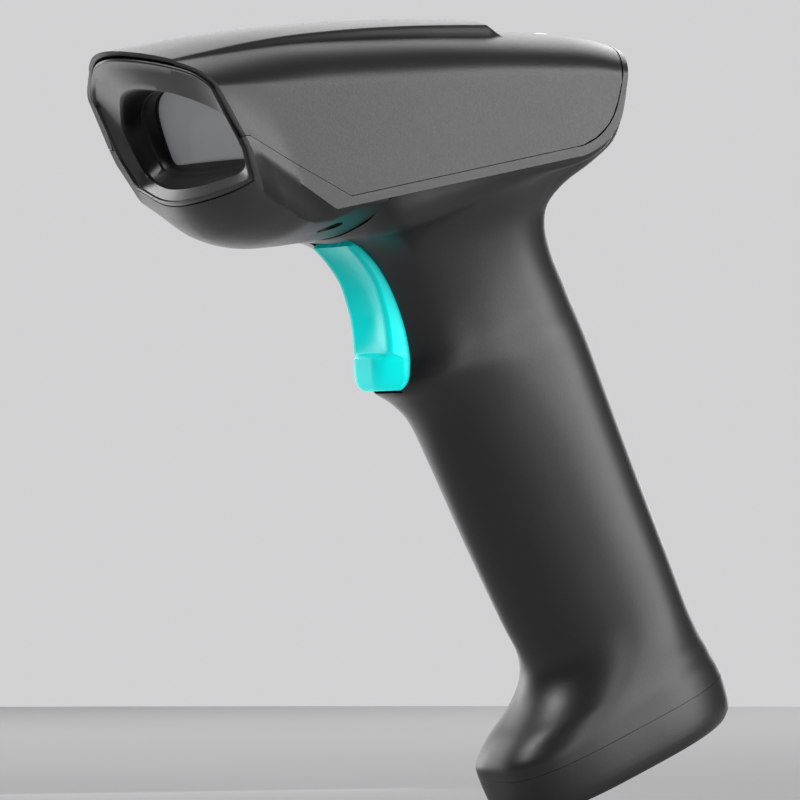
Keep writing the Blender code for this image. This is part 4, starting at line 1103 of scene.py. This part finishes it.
def trigger():
    count = 66
    levels = sorted([TRIGGER_LOW + TRIGGER_RISE * (k / count) ** 1.15 for k in range(count + 1)]
                    + [86.5, 86.8, 87.1])
    side = [0, 0.11, 0.23, 0.35, 0.47, 0.58, 0.68, 0.74, 0.765, 0.776, 0.79, 0.82, 0.86, 0.89,
            0.93, 0.965, 0.988, 1]
    across = [TRIGGER_HALF * k for k in [-k for k in reversed(side[1:])] + side]
    rings = []
    for z in levels:
        front, back, dish = TRIGGER_FRONT(z), TRIGGER_BACK(z), DISH(z)
        narrow = TRIGGER_SIDE(z) / TRIGGER_HALF
        bulb = 1 - smooth(z, 85.9, 87.3)  # 1 over the full, rounded lower end
        ring = []
        for x in across:
            edge = 0.8 * max(0.0, (abs(x) - 7.6) / 0.9) ** 1.6
            full = 5.2 * max(0.0, (abs(x) - 4.0) / 4.5) ** 1.8 - 1.9
            edge += (full - edge) * bulb
            bowl = dish * (1 - min(1.0, abs(x) / 6.6) ** 2)
            ring.append((x * narrow, min(front + edge + bowl, back - 1.0), z))
        for x in reversed(across):
            ring.append((x * narrow, back, z))
        rings.append(ring)
    last = rings[-1]
    top = [(x, PIVOT.y + (2.2 if k >= len(across) else -2.6), PIVOT.z + 2.4)
           for k, (x, _, _) in enumerate(last)]
    for share in (0.3, 0.6, 0.8, 0.93, 1.0):
        narrow = 1 - 0.14 * share
        rings.append([(x * narrow, y, z) for x, y, z in between(last, top, share)])
    obj = piece("trigger_skin", *stack(rings), "trigger", "trigger", CYAN_PAINTED_GLOW, ["trigger"],
                bevel=0.3, angle=40, segments=3)
    bore = turned_mesh([(1.05, -12), (1.05, 12)], framed(PIVOT, (1, 0, 0), (0, 1, 0)))
    middle = PIVOT + Vector((0, 0, 0.9))
    box = [(3.7, 6), (-3.7, 6), (-3.7, -6), (3.7, -6)]
    room = stack([[tuple(middle + Vector((x, y, z))) for x, y in box] for z in (-4.3, 4.3)])
    return boolean(obj, [cutter(*bore), cutter(*room)])


# ---------------------------------------------------------------- carried-over nodes
NODE_LOOKS = {name: look for look, names in (
    (STEEL, "trigger_pin trigger_spring"),
    (BLACK, "switch_body engine_body lens_barrel engine_chassis buzzer battery_cradle"),
    (BOARD, "switch_board engine_board main_board charge_board"),
    (WHITE, "switch_plunger board_connector battery_connector status_led"),
    (CHIP, "cpu_chip memory_chip usb_tongue"),
    (LENS, "lens_glass aimer_lens"),
    (CLEAR, "light_lens_l light_lens_r"),
    (SENSOR, "image_sensor"),
    (TIN, "radio_module usb_socket"),
    (BRASS, "battery_contact_top battery_contact_base"),
    (FLEX, "flex_cable"),
    (WRAP, "battery_cell"),
) for name in names.split()}
REPLACED = ("upper_shell", "chin_frame", "handle_shell", "base_cap", "nose_bezel",
            "window_gasket", "window_pane", "status_lens", "trigger")


def dress_nodes():
    for name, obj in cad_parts.items():
        if name in REPLACED:
            continue
        look = STEEL if "screw" in name else NODE_LOOKS[name]
        for spot in obj.material_slots:
            spot.material = look
        if not obj.material_slots:
            obj.data.materials.append(look)


# ---------------------------------------------------------------- stage
def plain(name, colour, roughness):
    """Matt paint without any shine."""
    n = Nodes(name, colour, roughness)
    soft_tone = n.noise(3.0, 2.0)
    n.mottle(soft_tone, shade(colour, 0.985), shade(colour, 1.015))
    n.set("Specular IOR Level", 0.0)
    return n.mat


def stage():
    """Round pale floor."""
    low, radius, middle, count = -0.0122, 1.02, -0.05, 96
    verts = [(radius * math.cos(2 * math.pi * k / count),
              radius * math.sin(2 * math.pi * k / count) + middle, low) for k in range(count)]
    mesh = bpy.data.meshes.new("floor")
    mesh.from_pydata(verts, [], [tuple(range(count))])
    mesh.materials.append(plain("pale_floor", (0.42, 0.42, 0.425), 0.8))
    obj = bpy.data.objects.new("floor", mesh)
    bpy.context.scene.collection.objects.link(obj)


def area_light(name, spot, target, size, power):
    """White panel that lights the object and that the camera doesn't see."""
    data = bpy.data.lights.new(name, "AREA")
    data.shape = "RECTANGLE"
    data.size, data.size_y = size
    data.energy = power
    obj = bpy.data.objects.new(name, data)
    obj.location = spot
    obj.rotation_euler = (Vector(target) - Vector(spot)).to_track_quat("-Z", "Y").to_euler()
    obj.visible_camera = False
    bpy.context.scene.collection.objects.link(obj)


def around(azimuth, elevation, distance, centre=(0, -0.05, 0.08)):
    """Point seen from centre, in metres: azimuth 0 is -Y, 90 is +X."""
    a, e = math.radians(azimuth), math.radians(elevation)
    return Vector(centre) + distance * Vector((math.sin(a) * math.cos(e),
                                               -math.cos(a) * math.cos(e), math.sin(e)))


def lights():
    centre = (0, -0.05, 0.09)
    area_light("key", around(130, 12, 0.95), centre, (0.55, 0.80), 10.0)
    area_light("side", around(92, 8, 0.95), centre, (0.12, 0.55), 1.8)
    area_light("rim", around(222, 8, 1.25), centre, (0.50, 0.90), 3.8)
    area_light("edge", around(284, 9, 0.90), centre, (0.20, 0.55), 2.0)
    area_light("low", (-0.20, -0.06, -0.005), (0, -0.08, 0.12), (0.22, 0.22), 0.16)
    area_light("top", around(240, 36, 1.00), centre, (0.90, 0.70), 5.0)
    area_light("nose", around(-15, 42, 0.90), centre, (0.35, 0.25), 4.0)
    area_light("back", around(241.5, 7, 1.25), centre, (1.60, 0.50), 1.5)


def surroundings():
    """Dim studio air round a pale backdrop, the same in every direction."""
    world = bpy.data.worlds.new("studio")
    bpy.context.scene.world = world
    world.use_nodes = True
    tree = world.node_tree
    air, backdrop = tree.nodes["Background"], tree.nodes.new("ShaderNodeBackground")
    for node, colour, strength in ((air, (0.80, 0.81, 0.83, 1.0), 0.06),
                                   (backdrop, (0.80, 0.80, 0.81, 1.0), 0.80)):
        node.inputs["Color"].default_value = colour
        node.inputs["Strength"].default_value = strength
    mix = tree.nodes.new("ShaderNodeMixShader")
    ray = tree.nodes.new("ShaderNodeLightPath")
    tree.links.new(ray.outputs["Is Camera Ray"], mix.inputs[0])
    tree.links.new(air.outputs[0], mix.inputs[1])
    tree.links.new(backdrop.outputs[0], mix.inputs[2])
    tree.links.new(mix.outputs[0], tree.nodes["World Output"].inputs["Surface"])


def camera():
    data = bpy.data.cameras.new("camera")
    data.lens, data.sensor_width = 329.6, 36.0
    data.clip_start, data.clip_end = 0.05, 20.0
    obj = bpy.data.objects.new("camera", data)
    target = Vector((0, -0.0541, 0.0774))
    obj.location = around(61.5, -1.0, 1.55, target)
    obj.rotation_euler = (target - obj.location).to_track_quat("-Z", "Y").to_euler()
    bpy.context.scene.collection.objects.link(obj)
    bpy.context.scene.camera = obj
    bpy.context.scene.view_settings.view_transform = "Standard"


camera()
upper_shell()
seam_seal()
chin_frame()
handle_shell()
base_cap()
nose_bezel()
window()
status_lens()
trigger()
dress_nodes()
stage()
lights()
surroundings()
